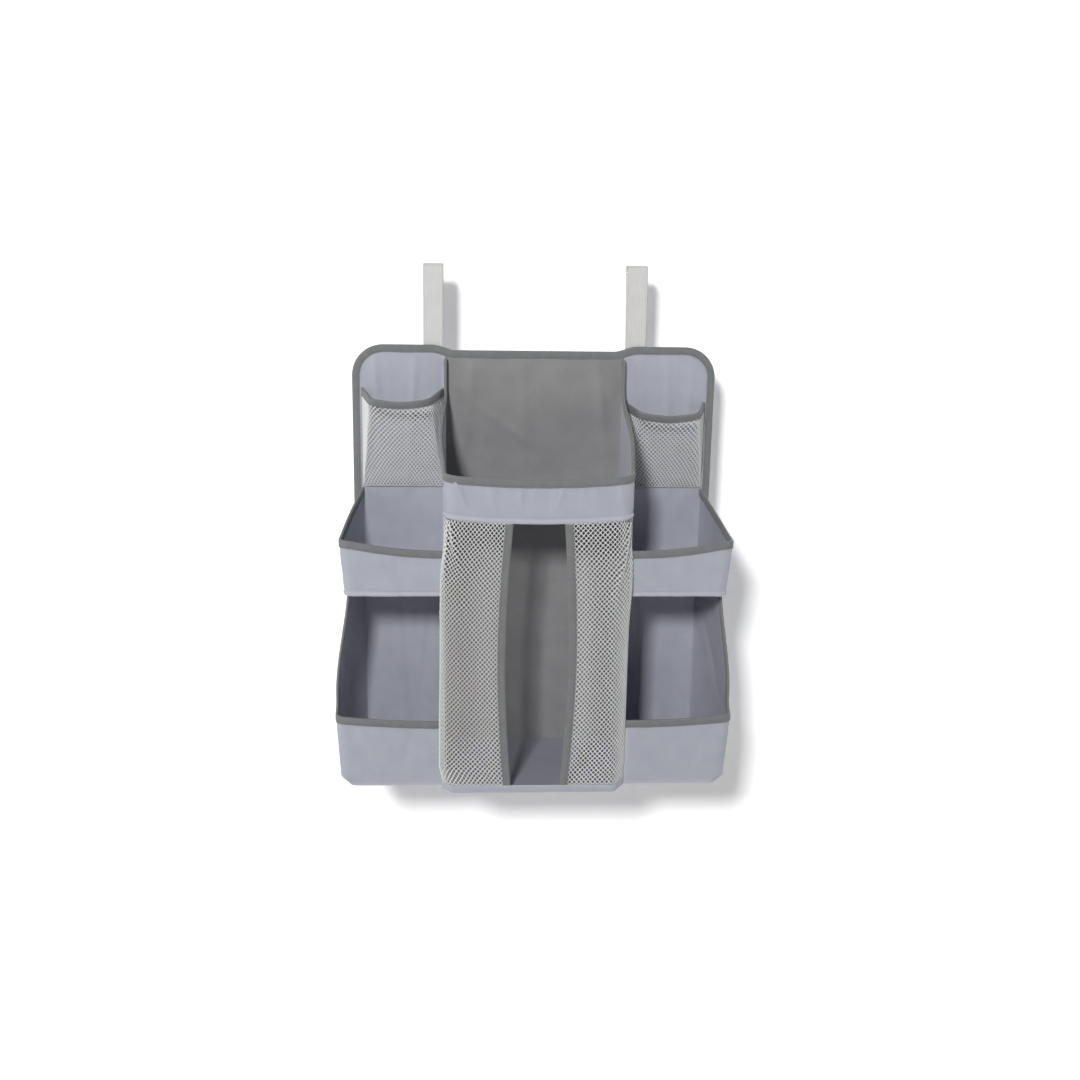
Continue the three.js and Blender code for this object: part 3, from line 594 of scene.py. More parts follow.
# Gives a sheet its thickness behind the side it was made on, and closes its rim
def thicken(bm, thickness):
    bm.normal_update()
    made = bmesh.ops.duplicate(bm, geom=bm.verts[:] + bm.edges[:] + bm.faces[:])
    behind = [g for g in made["geom"] if isinstance(g, bmesh.types.BMVert)]
    backFaces = [g for g in made["geom"] if isinstance(g, bmesh.types.BMFace)]
    bm.normal_update()
    for vert in behind:
        vert.co -= vert.normal * thickness
    bmesh.ops.reverse_faces(bm, faces=backFaces)
    source = {vert: made["vert_map"][vert] for vert in behind}
    bmesh.ops.bridge_loops(bm, edges=[e for e in bm.edges if e.is_boundary])
    return source


# Writes each vertex's flat place in millimetres as the UV map, on both sides and the rim
def writeFlat(bm, uvLayer, flat, source):
    for face in bm.faces:
        for loop in face.loops:
            a, b = flat[source.get(loop.vert, loop.vert)]
            loop[uvLayer].uv = (a * mm, b * mm)


def roundRim(bm, sharp, radius):
    rim = [e for e in bm.edges if e.calc_face_angle(0) > sharp]
    bmesh.ops.bevel(
        bm, geom=rim, offset=radius * mm, segments=2, profile=0.5, affect="EDGES", material=-1
    )


def declareSheet(surface):
    width, height = spans(surface)
    area = min(areaOf(surface), width * height) * mm * mm


# How a piece of the outer cloth is finished and held, unless its own settings say otherwise
hungLilac = {
    "material": lilacCloth,
    "slot": "lilac_cloth",
    "held": "hung",
    "thickness": cloth,
    "wearEdges": 6.0,
}


# A sheet of cloth over surface(u, v) with ripple(a, b, u, v) along its normal. Its flat
# coordinates in metres are the UV map, and its wear is written along its free edges.
def makeCloth(name, surface, settings):
    settings = {**hungLilac, **settings}
    thickness = settings["thickness"]
    bm = newGrid(*settings["cells"])
    uvLayer, wearLayer = addLayers(bm)
    width, height = spans(surface)
    shares = {v: (v.co.x + 0.5, v.co.y + 0.5) for v in bm.verts}
    flat = {}
    for vert, (u, v) in shares.items():
        a, b = flat[vert] = (u * width, v * height)
        lift = thickness / 2 + settings["ripple"](a, b, u, v)
        edge = min(a, (1 - u) * width, b, (1 - v) * height)
        vert[wearLayer] = clamp(1 - edge / settings["wearEdges"])
        vert.co = place(surface(u, v) + normalOf(surface, u, v) * lift)
    source = thicken(bm, thickness * mm)
    writeFlat(bm, uvLayer, flat, source)
    if "rim" in settings:
        roundRim(bm, 1.0, settings["rim"])
    piece = finishPiece(
        name,
        bm,
        [settings["material"]],
        settings["replaces"],
        angle=settings.get("angle", 40),
    )
    declareSheet(surface)


# Even places along a line of points, as (leg, share of the leg), and the line's length
def evenly(points, pitch, least):
    lengths = [0.0]
    for a, b in zip(points, points[1:]):
        lengths.append(lengths[-1] + (b - a).length)
    count = max(int(lengths[-1] / pitch), least)
    found = []
    k = 0
    for i in range(count + 1):
        want = lengths[-1] * i / count
        while k < len(points) - 2 and lengths[k + 1] < want:
            k += 1
        found.append((k, clamp((want - lengths[k]) / max(lengths[k + 1] - lengths[k], 1e-9))))
    return found, lengths[-1]


# Stations are [at, normal, into] along an edge. Spaced evenly, with their corners rounded.
def respace(stations, pitch, smoothing):
    places, length = evenly([station[0] for station in stations], pitch, 4)
    made = [[stations[k][j].lerp(stations[k + 1][j], t) for j in range(3)] for k, t in places]
    for _ in range(smoothing):
        middle = [
            [(a[j] + b[j] * 2 + c[j]) / 4 for j in range(3)]
            for a, b, c in zip(made, made[1:], made[2:])
        ]
        made = [made[0]] + middle + [made[-1]]
    for station in made:
        station[1].normalize()
        station[2].normalize()
    return made, length


# Turn and size of a bead, from its three half axes, and its place
def axes(x, y, z, at):
    made = Matrix.Identity(4)
    for column, axis in enumerate((x, y, z, at)):
        for row in range(3):
            made[row][column] = axis[row]
    return made


# Stitches: small beads of thread, made in batches, with the piece's second material
def addBeads(bm, matrices, batchSize=24):
    for start in range(0, len(matrices), batchSize):
        batch = bmesh.new()
        for matrix in matrices[start : start + batchSize]:
            bmesh.ops.create_uvsphere(batch, u_segments=6, v_segments=4, radius=mm, matrix=matrix)
        for face in batch.faces:
            face.material_index = 1
        mesh = bpy.data.meshes.new("beads")
        batch.to_mesh(mesh)
        batch.free()
        bm.from_mesh(mesh)
        bpy.data.meshes.remove(mesh)


# Tape: foot is how far each flap reaches in from the edge, top and crown its rounded fold
tape = {
    "pitch": 2.0,
    "skin": 0.9,
    "room": 0.25,
    "foot": 8.3,
    "top": -1.2,
    "crown": 2.4,
    "stitchInset": 1.7,
    "stitchPitch": 3.0,
    "bead": (1.05, 0.34, 0.3),
    "slack": 0.35,
    "crownSlack": 0.33,
    "dent": 0.24,
    "dentHalf": 0.9,
    "wornFoot": 1.2,
}


# The tape's section, as (share of its half thickness, millimetres into the cloth) points
def tapeSection(outer, centre, rise, stitchAt):
    foot = tape["foot"]
    legs = [foot, foot - 0.8, stitchAt, stitchAt - 0.9, mix(centre, foot, 0.4)]
    arc = [math.pi * k / 6 for k in range(7)]
    section = [(1.0, down) for down in legs]
    section += [(math.cos(t), centre - rise * math.sin(t)) for t in arc]
    section += [(-1.0, down) for down in reversed(legs)]
    around = [0.0]
    for (x0, z0), (x1, z1) in zip(section, section[1:]):
        around.append(around[-1] + math.hypot((x1 - x0) * outer, z1 - z0))
    return section, around


# Folded tape over an edge: a rounded U section along the stations, with a row of stitches near
# the free edge of each flap and the small puckers that they pull
def makeTape(name, stations, settings):
    stations, length = respace(stations, tape["pitch"], settings.get("smoothing", 3))
    outer = settings["thickness"] / 2 + tape["room"] + tape["skin"]
    foot = tape["foot"]
    rise = min(outer, tape["crown"])
    centre = tape["top"] + rise
    stitchAt = foot - tape["stitchInset"]
    section, around = tapeSection(outer, centre, rise, stitchAt)
    middle = len(stations) // 2
    tangent = stations[middle + 1][0] - stations[middle - 1][0]
    if tangent.cross(-stations[middle][2]).dot(stations[middle][1]) < 0:
        section.reverse()
    columns, rows = len(stations) - 1, len(section) - 1
    bm = newGrid(columns, rows)
    uvLayer, wearLayer = addLayers(bm)
    seed = settings["seed"]
    index = {
        v: (round((v.co.x + 0.5) * columns), round((v.co.y + 0.5) * rows)) for v in bm.verts
    }
    flat = {}
    for vert, (i, j) in index.items():
        at, normal, into = stations[i]
        across, down = section[j]
        a = length * i / columns
        flat[vert] = (a, around[j])
        side = 1 if across > 0 else -1
        onFlap = abs(across) > 0.99
        flap = clamp((down - centre) / (foot - centre))
        loose = waves(a, side * 40, 9.0, 30.0, seed)
        bulge = tape["slack"] * flap * loose
        bulge += tape["crownSlack"] * clamp(loose) * (1 - abs(across))
        dent = tape["dent"] * math.exp(-(((down - stitchAt) / tape["dentHalf"]) ** 2))
        sway = tape["slack"] * flap * waves(a, side * 90, 22.0, 30.0, seed + 3)
        offset = across * outer + side * (bulge - dent) * (1 if onFlap else abs(across))
        vert.co = place(at + normal * offset + into * (down + sway))
        if onFlap:
            vert[wearLayer] = clamp(1 - (foot - down) / tape["wornFoot"])
        else:
            vert[wearLayer] = max(0.0, 1 - abs(across) * 1.1)
    source = thicken(bm, tape["skin"] * mm)
    writeFlat(bm, uvLayer, flat, source)
    matrices = []
    long, wide, high = tape["bead"]
    for k in range(int(length / tape["stitchPitch"])):
        where = (k + 0.5) * tape["stitchPitch"] / length * columns
        i = min(int(where), columns - 1)
        at, normal, into = (stations[i][n].lerp(stations[i + 1][n], where - i) for n in range(3))
        tangent = (stations[i + 1][0] - stations[i][0]).normalized()
        for out in (normal, -normal):
            centrePoint = place(at + out * (outer - 0.02) + into * stitchAt)
            matrices.append(
                axes(tangent * long, tangent.cross(out) * wide, out * high, centrePoint)
            )
    addBeads(bm, matrices)
    materials = [greyTape, stitchThread]
    piece = finishPiece(name, bm, materials, settings["replaces"], angle=50)


# Net: across and up are the size of one diamond, and strand is the yarn's thickness
net = {
    "across": 5.2,
    "up": 6.3,
    "strand": 1.12,
    "roundness": 1.35,
    "wander": 0.9,
}


# A knitted net of diamond gaps, laid out flat in millimetres and then carried onto
# surface(u, v)
def makeNet(name, surface, settings):
    width, height = spans(surface)
    bm = newGrid(round(width / net["across"]), round(height / net["up"]))
    inner = [e for e in bm.edges if not e.is_boundary]
    bmesh.ops.poke(bm, faces=bm.faces[:])
    bmesh.ops.dissolve_edges(bm, edges=inner, use_verts=False)
    for v in bm.verts:
        v.co = Vector(((v.co.x + 0.5) * width, (v.co.y + 0.5) * height, 0))
    bmesh.ops.wireframe(
        bm,
        faces=bm.faces[:],
        thickness=net["strand"],
        use_replace=True,
        use_boundary=True,
        use_even_offset=True,
    )
    uvLayer = bm.loops.layers.uv.new("cloth")
    for face in bm.faces:
        for loop in face.loops:
            loop[uvLayer].uv = (loop.vert.co.x * mm, loop.vert.co.y * mm)
    seed = settings["seed"]
    for v in bm.verts:
        a, b, lift = v.co
        fade = net["wander"] * min(1.0, a / 8, (width - a) / 8, b / 8, (height - b) / 8)
        u = clamp((a + fade * waves(a, b, 14.0, 14.0, seed)) / width)
        w = clamp((b + fade * waves(a, b, 14.0, 14.0, seed + 7)) / height)
        rise = lift * net["roundness"] + settings["ripple"](a, b, u, w)
        v.co = place(surface(u, w) + normalOf(surface, u, w, 0.004) * rise)
    piece = finishPiece(name, bm, [netYarn], settings["replaces"], angle=180)
    declareSheet(surface)


# Back panel: its lobes at the two sides stand higher than its middle
panel = {
    "half": 228.0,
    "thickness": 4.0,
    "cornerRadius": 38.0,
    "lobeTop": 532.0,
    "middleTop": 525.5,
    "middleHalf": 100.0,
    "step": 28.0,
    "hem": 0.4,
}
cornerX = panel["half"] - panel["cornerRadius"]
cornerZ = panel["lobeTop"] - panel["cornerRadius"]


def panelTop(x):
    a = abs(x)
    if a > cornerX:
        return cornerZ + math.sqrt(max(panel["cornerRadius"] ** 2 - (a - cornerX) ** 2, 0))
    share = ease((a - panel["middleHalf"]) / panel["step"])
    return mix(panel["middleTop"], panel["lobeTop"], share)


def panelSheet(left, right, depth):
    def surface(u, v):
        x = mix(left, right, u)
        return spot(x, depth, mix(base, panelTop(x) - panel["hem"], v))

    return surface


lobeFolds = {
    "left": [
        (26, 560, 34, 390, 2.0, 5),
        (84, 560, 70, 330, 1.8, 5),
        (50, 250, 66, 20, 1.4, 6),
        (96, 230, 80, 60, 1.2, 5),
    ],
    "right": [
        (18, 560, 30, 350, 2.2, 5),
        (56, 560, 66, 330, 2.0, 4),
        (92, 530, 84, 330, 1.2, 5),
        (30, 230, 50, 40, 1.4, 6),
    ],
}
liningFolds = [
    (36, 545, 20, 380, 2.4, 8),
    (92, 550, 104, 400, 1.6, 9),
    (186, 545, 204, 390, 2.4, 8),
    (20, 470, 120, 400, 1.2, 7),
]


def rearRipple(a, b, u, v):
    slack = 0.25 + 0.25 * waves(a, b, 60, 80, 5.0)
    return slack * min(within(u, 20, 20), within(v, 20, 20))


def lobeRipple(name, side):
    def ripple(a, b, u, v):
        slack = 0.6 + 0.9 * waves(a, b, 30, 110, 2.4 + side)
        folds = ridges(a, b, lobeFolds[name])
        return max(min(within(u, 8, 8), within(v, 30, 24)) * (slack + folds), 0.0)

    return ripple


def liningRipple(a, b, u, v):
    slack = 0.9 + 1.3 * waves(a, b, 46, 80, 9.4)
    folds = ridges(a, b, liningFolds)
    return max(min(within(u, 14, 14), within(v, 30, 26)) * (slack + folds), 0.0)


def panelStations():
    middle = panel["thickness"] / 2
    inwards = Vector((1, 0, 0))

    def corner(x, t):
        out = Vector((math.cos(t), 0, math.sin(t)))
        radius = panel["cornerRadius"]
        return [spot(x + radius * out.x, middle, cornerZ + radius * out.z), forwards, -out]

    heights = (0, 120, 240, 360)
    found = [[spot(-panel["half"], middle, z), forwards, inwards] for z in (*heights, cornerZ)]
    found += [corner(-cornerX, math.pi - math.pi / 2 * k / 24) for k in range(1, 25)]
    for k in range(1, 96):
        x = mix(-cornerX, cornerX, k / 96)
        rise = panelTop(x + 0.5) - panelTop(x - 0.5)
        into = Vector((rise, 0, -1)).normalized()
        found.append([spot(x, middle, panelTop(x)), forwards, into])
    found += [corner(cornerX, math.pi / 2 - math.pi / 2 * k / 24) for k in range(25)]
    found += [[spot(panel["half"], middle, z), forwards, -inwards] for z in reversed(heights)]
    return found


def makePanel():
    stretched = {"thickness": lining, "held": "stretched", "restsOn": ["back_board"]}
    edge = panel["half"] - panel["hem"]
    front = panel["thickness"] - lining / 2
    makeCloth(
        "rearPanelCloth",
        panelSheet(edge, -edge, lining / 2),
        {
            **stretched,
            "cells": (90, 106),
            "ripple": rearRipple,
            # the darker lilac copy, painted shade
            "material": shadedLilacCloth,
            "slot": "inner_cloth",
            "replaces": ["rear_cloth"],
        },
    )
    for name, side in sides:
        seam = dividerHalf + panel["hem"]
        left, right = (-edge, -seam) if side < 0 else (seam, edge)
        makeCloth(
            name + "Lobe",
            panelSheet(left, right, front),
            {
                **stretched,
                "cells": (40, 150),
                "ripple": lobeRipple(name, side),
                "replaces": [name + "_front_cloth"],
            },
        )
    makeCloth(
        "middleLining",
        panelSheet(-dividerHalf + 0.3, dividerHalf - 0.3, front),
        {
            **stretched,
            "cells": (76, 150),
            "ripple": liningRipple,
            "material": greyLining,
            "slot": "grey_lining",
            "replaces": ["centre_lining"],
        },
    )
    makeTape(
        "panelBinding",
        panelStations(),
        {
            "thickness": panel["thickness"],
            "replaces": ["edge_binding"],
            "restsOn": ["rearPanelCloth"],
            "seed": 1.0,
        },
    )


makePanel()
print("panel made")


# Middle column: each divider's upper edge steps down at a ledge by the panel, and then slopes to
# the centre tray's front. Its points are of depth and height.
gussetShape = {
    "seamDepth": 4.6,
    "ledge": 14.0,
    "ledgeTop": 516.0,
    "stepDepth": 11.5,
    "stepRun": 1.6,
    "stepFoot": 487.5,
    "start": 488.0,
    "bend": 472.0,
    "bendLength": 16.0,
    "front": (149, 402),
    "sag": 4.0,
}
dividerShape = {
    "back": 4.0,
    "front": 148.7,
    "lowerFront": 142.0,
    "lowerTop": 347.0,
    "step": 3.0,
    "sway": 4.5,
    "swayFoot": 350.0,
    "swayRise": 70.0,
    "swayDepth": (20, 125),
}
centreTray = {
    "bottom": 344.0,
    "top": 396.0,
    "endLift": 6.0,
    "cornerRadius": 16.0,
    "cornerArc": 25.1,
}


def gussetLine():
    ledge, top = gussetShape["ledge"], gussetShape["ledgeTop"]
    start, bend = Vector((ledge, gussetShape["start"])), Vector((ledge, gussetShape["bend"]))
    front = Vector(gussetShape["front"])
    leave = bend + (front - bend).normalized() * gussetShape["bendLength"]
    slack = (leave + front) / 2 - Vector((0, gussetShape["sag"]))
    points = [Vector((gussetShape["seamDepth"], top)), Vector((ledge, top))]
    points += [bezier(start, bend, leave, k / 12) for k in range(13)]
    points += [bezier(leave, slack, front, k / 24) for k in range(1, 25)]
    return points


gusset = gussetLine()


# Height of a divider's upper edge. The step at the ledge is eased, so that the cloth stays whole.
def gussetHeight(depth):
    if depth <= gussetShape["ledge"]:
        share = ease((depth - gussetShape["stepDepth"]) / gussetShape["stepRun"])
        return mix(gussetShape["ledgeTop"], gussetShape["stepFoot"], share)
    for a, b in zip(gusset[2:], gusset[3:]):
        if a.x <= depth <= b.x:
            return mix(a.y, b.y, (depth - a.x) / max(b.x - a.x, 1e-6))
    return gusset[-1].y


# The divider's loose upper edge sways outwards towards the front
def divider(side):
    shape = dividerShape
    back, front = shape["back"], shape["front"]
    near, reach = shape["swayDepth"]

    def surface(u, v):
        z = v * (gussetHeight(mix(back, front, u)) - base)
        upper = ease((z - shape["lowerTop"]) / shape["step"])
        depth = mix(back, mix(shape["lowerFront"], front, upper), u)
        bow = math.sin(math.pi * clamp((depth - near) / reach)) ** 1.5
        sway = shape["sway"] * ease((z - shape["swayFoot"]) / shape["swayRise"]) * bow
        return spot(side * (dividerHalf + sway), depth, z)

    return surface


def dividerRipple(side):
    lines = [(20, 470, 60, 330, 1.0, 8), (130, 380, 70, 300, -0.9, 9), (40, 300, 50, 60, 0.9, 12)]

    def ripple(a, b, u, v):
        fade = min(within(u, 10, 12), within(v, 30, 25))
        return fade * (0.8 * waves(a, b, 34, 60, 14.0 + side) + ridges(a, b, lines))

    return ripple


# Height by which the tray's front and the net under it rise towards their ends
def centreLift(x):
    return centreTray["endLift"] * (x / dividerHalf) ** 2


# Evenly spread over the wall: first the flat run and then each corner's arc
def centreWall(u, v):
    radius, arc = centreTray["cornerRadius"], centreTray["cornerArc"]
    flatHalf = dividerHalf - radius
    run = mix(-flatHalf - arc, flatHalf + arc, u)
    x, depth = run, centreDepth
    if abs(run) > flatHalf:
        turn = (abs(run) - flatHalf) / arc * math.pi / 2
        x = math.copysign(flatHalf + radius * math.sin(turn), run)
        depth = centreDepth - radius * (1 - math.cos(turn))
    return spot(x, depth, mix(centreTray["bottom"], centreTray["top"], v) + centreLift(x))


centreFolds = [
    (22, 48, 36, 16, 1.6, 3),
    (60, 46, 72, 8, 0.9, 4),
    (98, 48, 100, 20, 1.1, 3),
    (150, 46, 140, 14, 1.0, 4),
    (212, 48, 224, 14, 1.3, 4),
]


def centreRipple(a, b, u, v):
    down = centreTray["top"] - centreTray["bottom"] - b
    pull = puckers(a, down, 2.4, 8.0, 13.0, 21.0) + puckers(a, b, 0.8, 12.0, 10.0, 23.0)
    slack = 0.6 * waves(a, b, 36, 26, 25.0)
    fade = within(u, 14, 14) * clamp((1 - v) * 8)
    return hemBead(b) + fade * (pull + ridges(a, b, centreFolds) + slack)


# Stations up over the ledge and down one divider's slope
def gussetStations(side):
    surface = divider(side)
    normal = Vector((side, 0, 0))
    first = gusset[0]
    found = [[spot(side * dividerHalf, first.x, first.y), normal, downwards]]
    for k, point in enumerate(gusset[1:], 1):
        back, front = dividerShape["back"], dividerShape["front"]
        x = surface(clamp((point.x - back) / (front - back)), 1.0).x
        after = gusset[min(k + 1, len(gusset) - 1)]
        along = (after - gusset[max(k - 1, 1)]).normalized()
        found.append([spot(x, point.x, point.y), normal, spot(0, along.y, -along.x)])
    return found


def makeMiddle():
    for name, side in sides:
        surface = divider(side)
        makeCloth(
            name + "Divider",
            lambda u, v: surface(outwards(u, -side), v),
            {
                "cells": (58, 170),
                "ripple": dividerRipple(side),
                "replaces": [name + "_divider"],
                "restsOn": ["rearPanelCloth"],
            },
        )
    makeCloth(
        "centreTrayWall",
        centreWall,
        {
            "cells": (140, 40),
            "ripple": centreRipple,
            "replaces": ["centre_tray_front"],
            "restsOn": ["leftDivider", "rightDivider"],
        },
    )
    front = [
        [centreWall(k / 40, 1.0), normalOf(centreWall, k / 40, 1.0), downwards]
        for k in range(1, 40)
    ]
    makeTape(
        "centreBinding",
        gussetStations(-1) + front + gussetStations(1)[::-1],
        {
            "thickness": cloth,
            "replaces": ["centre_tray_binding"],
            "restsOn": ["leftDivider", "centreTrayWall", "rightDivider"],
            "seed": 2.0,
            "smoothing": 4,
        },
    )


makeMiddle()
print("middle column made")


# Side boxes: s runs from 0 to 1 along the front, to 2 round the corner and to 3 back to the
# panel. front, corner and side are the lengths of those runs.
sideBox = {
    "innerSeam": 112.9,
    "outerSeam": 217.3,
    "seamDepth": 4.3,
}
tray = {
    "bottom": 248.0,
    "brim": 304.0,
    "cornerLift": 12.0,
    "rearRise": 34.0,
    "footHalf": 232.0,
    "brimHalf": 237.0,
    "cornerRadius": 11.0,
    "bulge": 3.0,
    "front": 114.0,
    "corner": 17.3,
    "side": 128.0,
}
cubby = {
    "wallTop": 85.0,
    "cornerLift": 6.0,
    "top": 247.5,
    "cornerRadius": 12.0,
    "lowBulge": 9.0,
    "highBulge": 3.0,
    "knots": [(0, 231.0), (10, 241.0), (125, 245.0), (248, 229.0)],
    "front": 113.0,
    "corner": 18.8,
    "edgeBend": 14.0,
    "sideRun": 125.7,
}


def wrap(s, half, radius, bulge):
    if s <= 1:
        return mix(sideBox["innerSeam"], half - radius, s), sideDepth
    if s <= 2:
        t = (s - 1) * math.pi / 2
        return half - radius + radius * math.sin(t), sideDepth - radius + radius * math.cos(t)
    back = s - 2
    x = mix(half, sideBox["outerSeam"], back) + bulge * math.sin(math.pi * back)
    return x, mix(sideDepth - radius, sideBox["seamDepth"], back)


# Share of the tray wall's run turned into s, with even spacing
def trayShare(t):
    front, corner = tray["front"], tray["corner"]
    run = t * (front + corner + tray["side"])
    if run <= front:
        return run / front
    if run <= front + corner:
        return 1 + (run - front) / corner
    return 2 + (run - front - corner) / tray["side"]


# The brims rise towards the outer corner, and the tray's on to the panel
def liftShare(s):
    return min(s, 1.0) ** 2


def trayBrim(s):
    rear = tray["rearRise"] * max(s - 2, 0) ** 1.5
    return tray["brim"] + tray["cornerLift"] * liftShare(s) + rear


def trayWall(side):
    height = tray["brim"] + tray["cornerLift"] - tray["bottom"]

    def surface(u, v):
        s = trayShare(outwards(u, side))
        z = mix(tray["bottom"], trayBrim(s), v)
        half = mix(tray["footHalf"], tray["brimHalf"], (z - tray["bottom"]) / height)
        x, depth = wrap(s, half, tray["cornerRadius"], tray["bulge"])
        return spot(side * x, depth, z)

    return surface


def trayRipple(side):
    def ripple(a, b, u, v):
        fade = within(u, 20, 20) * clamp((1 - v) * 7)
        pull = puckers(a, (1 - v) * 60, 1.3, 10.0, 14.0, 31.0 + side)
        pull += puckers(a, b, 0.8, 11.0, 10.0, 35.0 + side)
        return hemBead(b, 5.0, 1.0) + fade * (pull + 0.9 * waves(a, b, 34, 30, 37.0 + side))

    return ripple


# Half width of the cubby's outer corner, on a smooth curve through the knots of height and width
def cubbyHalf(z):
    knots = cubby["knots"]
    k = 0 if z <= knots[1][0] else 1 if z <= knots[2][0] else 2
    t = clamp((z - knots[k][0]) / (knots[k + 1][0] - knots[k][0]))
    p0, p1, p2 = knots[max(k - 1, 0)][1], knots[k][1], knots[k + 1][1]
    p3 = p2 if k == 2 else knots[k + 2][1]
    v0, v1 = (p2 - p0) * 0.5, (p3 - p1) * 0.5
    cubic = (2 * p1 - 2 * p2 + v0 + v1) * t**3 + (-3 * p1 + 3 * p2 - 2 * v0 - v1) * t**2
    return max(cubic + v0 * t + p1, knots[-1][1])


def cubbyTop(s):
    return cubby["wallTop"] + cubby["cornerLift"] * liftShare(s)


def cubbyPoint(side, s, z):
    widest, top = cubby["knots"][2][0], cubby["knots"][3][0]
    share = max(z - widest, 0) / (top - widest)
    bulge = mix(cubby["lowBulge"], cubby["highBulge"], share)
    x, depth = wrap(s, cubbyHalf(z), cubby["cornerRadius"], bulge)
    return spot(side * x, depth, z)


# Where the side wall's front edge runs: along the corner's seam, then in a bend away from it
def cubbyEdge(z):
    seam = 2 + base / cubby["sideRun"]
    bend = cubby["edgeBend"]
    level = 1 - clamp((z - cubbyTop(1)) / bend)
    share = math.sqrt(max(1 - level * level, 0))
    return mix(seam, seam + bend / cubby["sideRun"], share)


def cubbyFront(side):
    def surface(u, v):
        front, corner = cubby["front"], cubby["corner"]
        run = outwards(u, side) * (front + corner)
        s = run / front if run <= front else 1 + (run - front) / corner
        return cubbyPoint(side, s, mix(base, cubbyTop(s), v))

    return surface


def cubbySide(side):
    def surface(u, v):
        z = mix(base, cubby["top"], v)
        return cubbyPoint(side, mix(cubbyEdge(z), 3.0, outwards(u, side)), z)

    return surface


def cubbyFrontRipple(side):
    lines = [(30, 84, 60, 20, 0.8, 6), (100, 80, 84, 16, -0.8, 6)]

    def ripple(a, b, u, v):
        fade = within(outwards(u, side), 14, 10) * clamp((1 - v) * 8) * clamp(v * 8)
        pull = puckers(a, (1 - v) * 88, 1.2, 10.0, 16.0, 41.0 + side)
        slack = 1.1 * waves(a, b, 40, 34, 43.0 + side)
        return fade * (pull + slack + ridges(a, b, lines))

    return ripple


def cubbySideRipple(side):
    lines = [(20, 30, 90, 200, 1.0, 8), (100, 40, 40, 150, -0.9, 9), (60, 120, 110, 230, 0.8, 8)]

    def ripple(a, b, u, v):
        fade = within(outwards(u, side), 9, 12) * within(v, 16, 16)
        return fade * (waves(a, b, 44, 60, 47.0 + side) + ridges(a, b, lines))

    return ripple


def trayStations(side, wall):
    found = []
    for k in range(91):
        u = outwards(k / 90, side)
        normal = normalOf(wall, u, 1.0)
        if k > 84:  # lies flat against the panel's side at the end
            normal = normal.lerp(Vector((side, 0, 0)), (k - 84) / 6).normalized()
        found.append([wall(u, 1.0), normal, downwards])
    return found


# Stations along the front wall's top, and then up the side wall's front edge
def cubbyStations(side, front, flank):
    flat, corner = cubby["front"], cubby["corner"]
    found = []
    for k in range(49):
        s = 2 * k / 48
        run = s * flat if s <= 1 else flat + (s - 1) * corner
        u = outwards(run / (flat + corner), side)
        found.append([front(u, 1.0), normalOf(front, u, 1.0), downwards])
    bend, low, top = cubby["edgeBend"], cubbyTop(1), cubby["top"]
    heights = [low + bend * (1 - math.cos(math.pi / 2 * k / 8)) for k in range(1, 9)]
    heights += [mix(low + bend, top, k / 30) for k in range(1, 31)]
    edge = outwards(0.0, side)
    for z in heights:
        v = (z - base) / (top - base)
        along = flank(edge, clamp(v + 0.006)) - flank(edge, clamp(v - 0.006))
        normal = normalOf(flank, edge, v)
        into = normal.cross(along).normalized()
        inside = Vector((0, 1, 0)) if z > low + bend + 1 else Vector((0, 1, -1))
        if into.dot(inside) < 0:
            into = -into
        found.append([flank(edge, v), normal, into])
    return found


def makeSides():
    for name, side in sides:
        wall = trayWall(side)
        makeCloth(
            name + "TrayWall",
            wall,
            {
                "cells": (136, 44),
                "ripple": trayRipple(side),
                "replaces": [name + "_tray_front", name + "_tray_gusset"],
                "restsOn": [name + "Divider", name + "Lobe"],
            },
        )
        makeTape(
            name + "TrayBinding",
            trayStations(side, wall),
            {
                "thickness": cloth,
                "replaces": [name + "_tray_binding"],
                "restsOn": [name + "TrayWall"],
                "seed": 4.0 + side,
            },
        )
        front = cubbyFront(side)
        flank = cubbySide(side)
        makeCloth(
            name + "CubbyFront",
            front,
            {
                "cells": (66, 46),
                "ripple": cubbyFrontRipple(side),
                "replaces": [name + "_cubby_front"],
                "restsOn": [name + "Divider"],
            },
        )
        makeCloth(
            name + "CubbySide",
            flank,
            {
                "cells": (58, 104),
                "ripple": cubbySideRipple(side),
                "replaces": [name + "_cubby_side"],
                "restsOn": [name + "Lobe", name + "TrayWall"],
            },
        )
        makeTape(
            name + "CubbyBinding",
            cubbyStations(side, front, flank),
            {
                "thickness": cloth,
                "replaces": [name + "_cubby_binding"],
                "restsOn": [name + "CubbyFront", name + "CubbySide"],
                "seed": 7.0 + side,
            },
        )


makeSides()
print("side trays and cubbies made")


# Floors: cloth sleeves pulled over their boards. top is the height of the cloth's middle surface
# over the floor's underside, and each bottom is that underside's own height.
floors = {
    "thickness": 3.6,
    "top": 1.9,
    "rearDepth": 4.2,
    "half": 111.0,
    "inset": 1.5,
    "innerEdge": 113.2,
    "cubbyHalf": 229.0,
    "trayBottom": 250.0,
}
centreFloor = {
    "front": 164.0,
    "bottom": 350.3,
    "cornerRadius": 15.0,
}
diaperFloor = {
    "front": 163.2,
    "frontHalf": 97.6,
    "narrowFrom": 142.3,
    "narrowRun": 21.0,
}


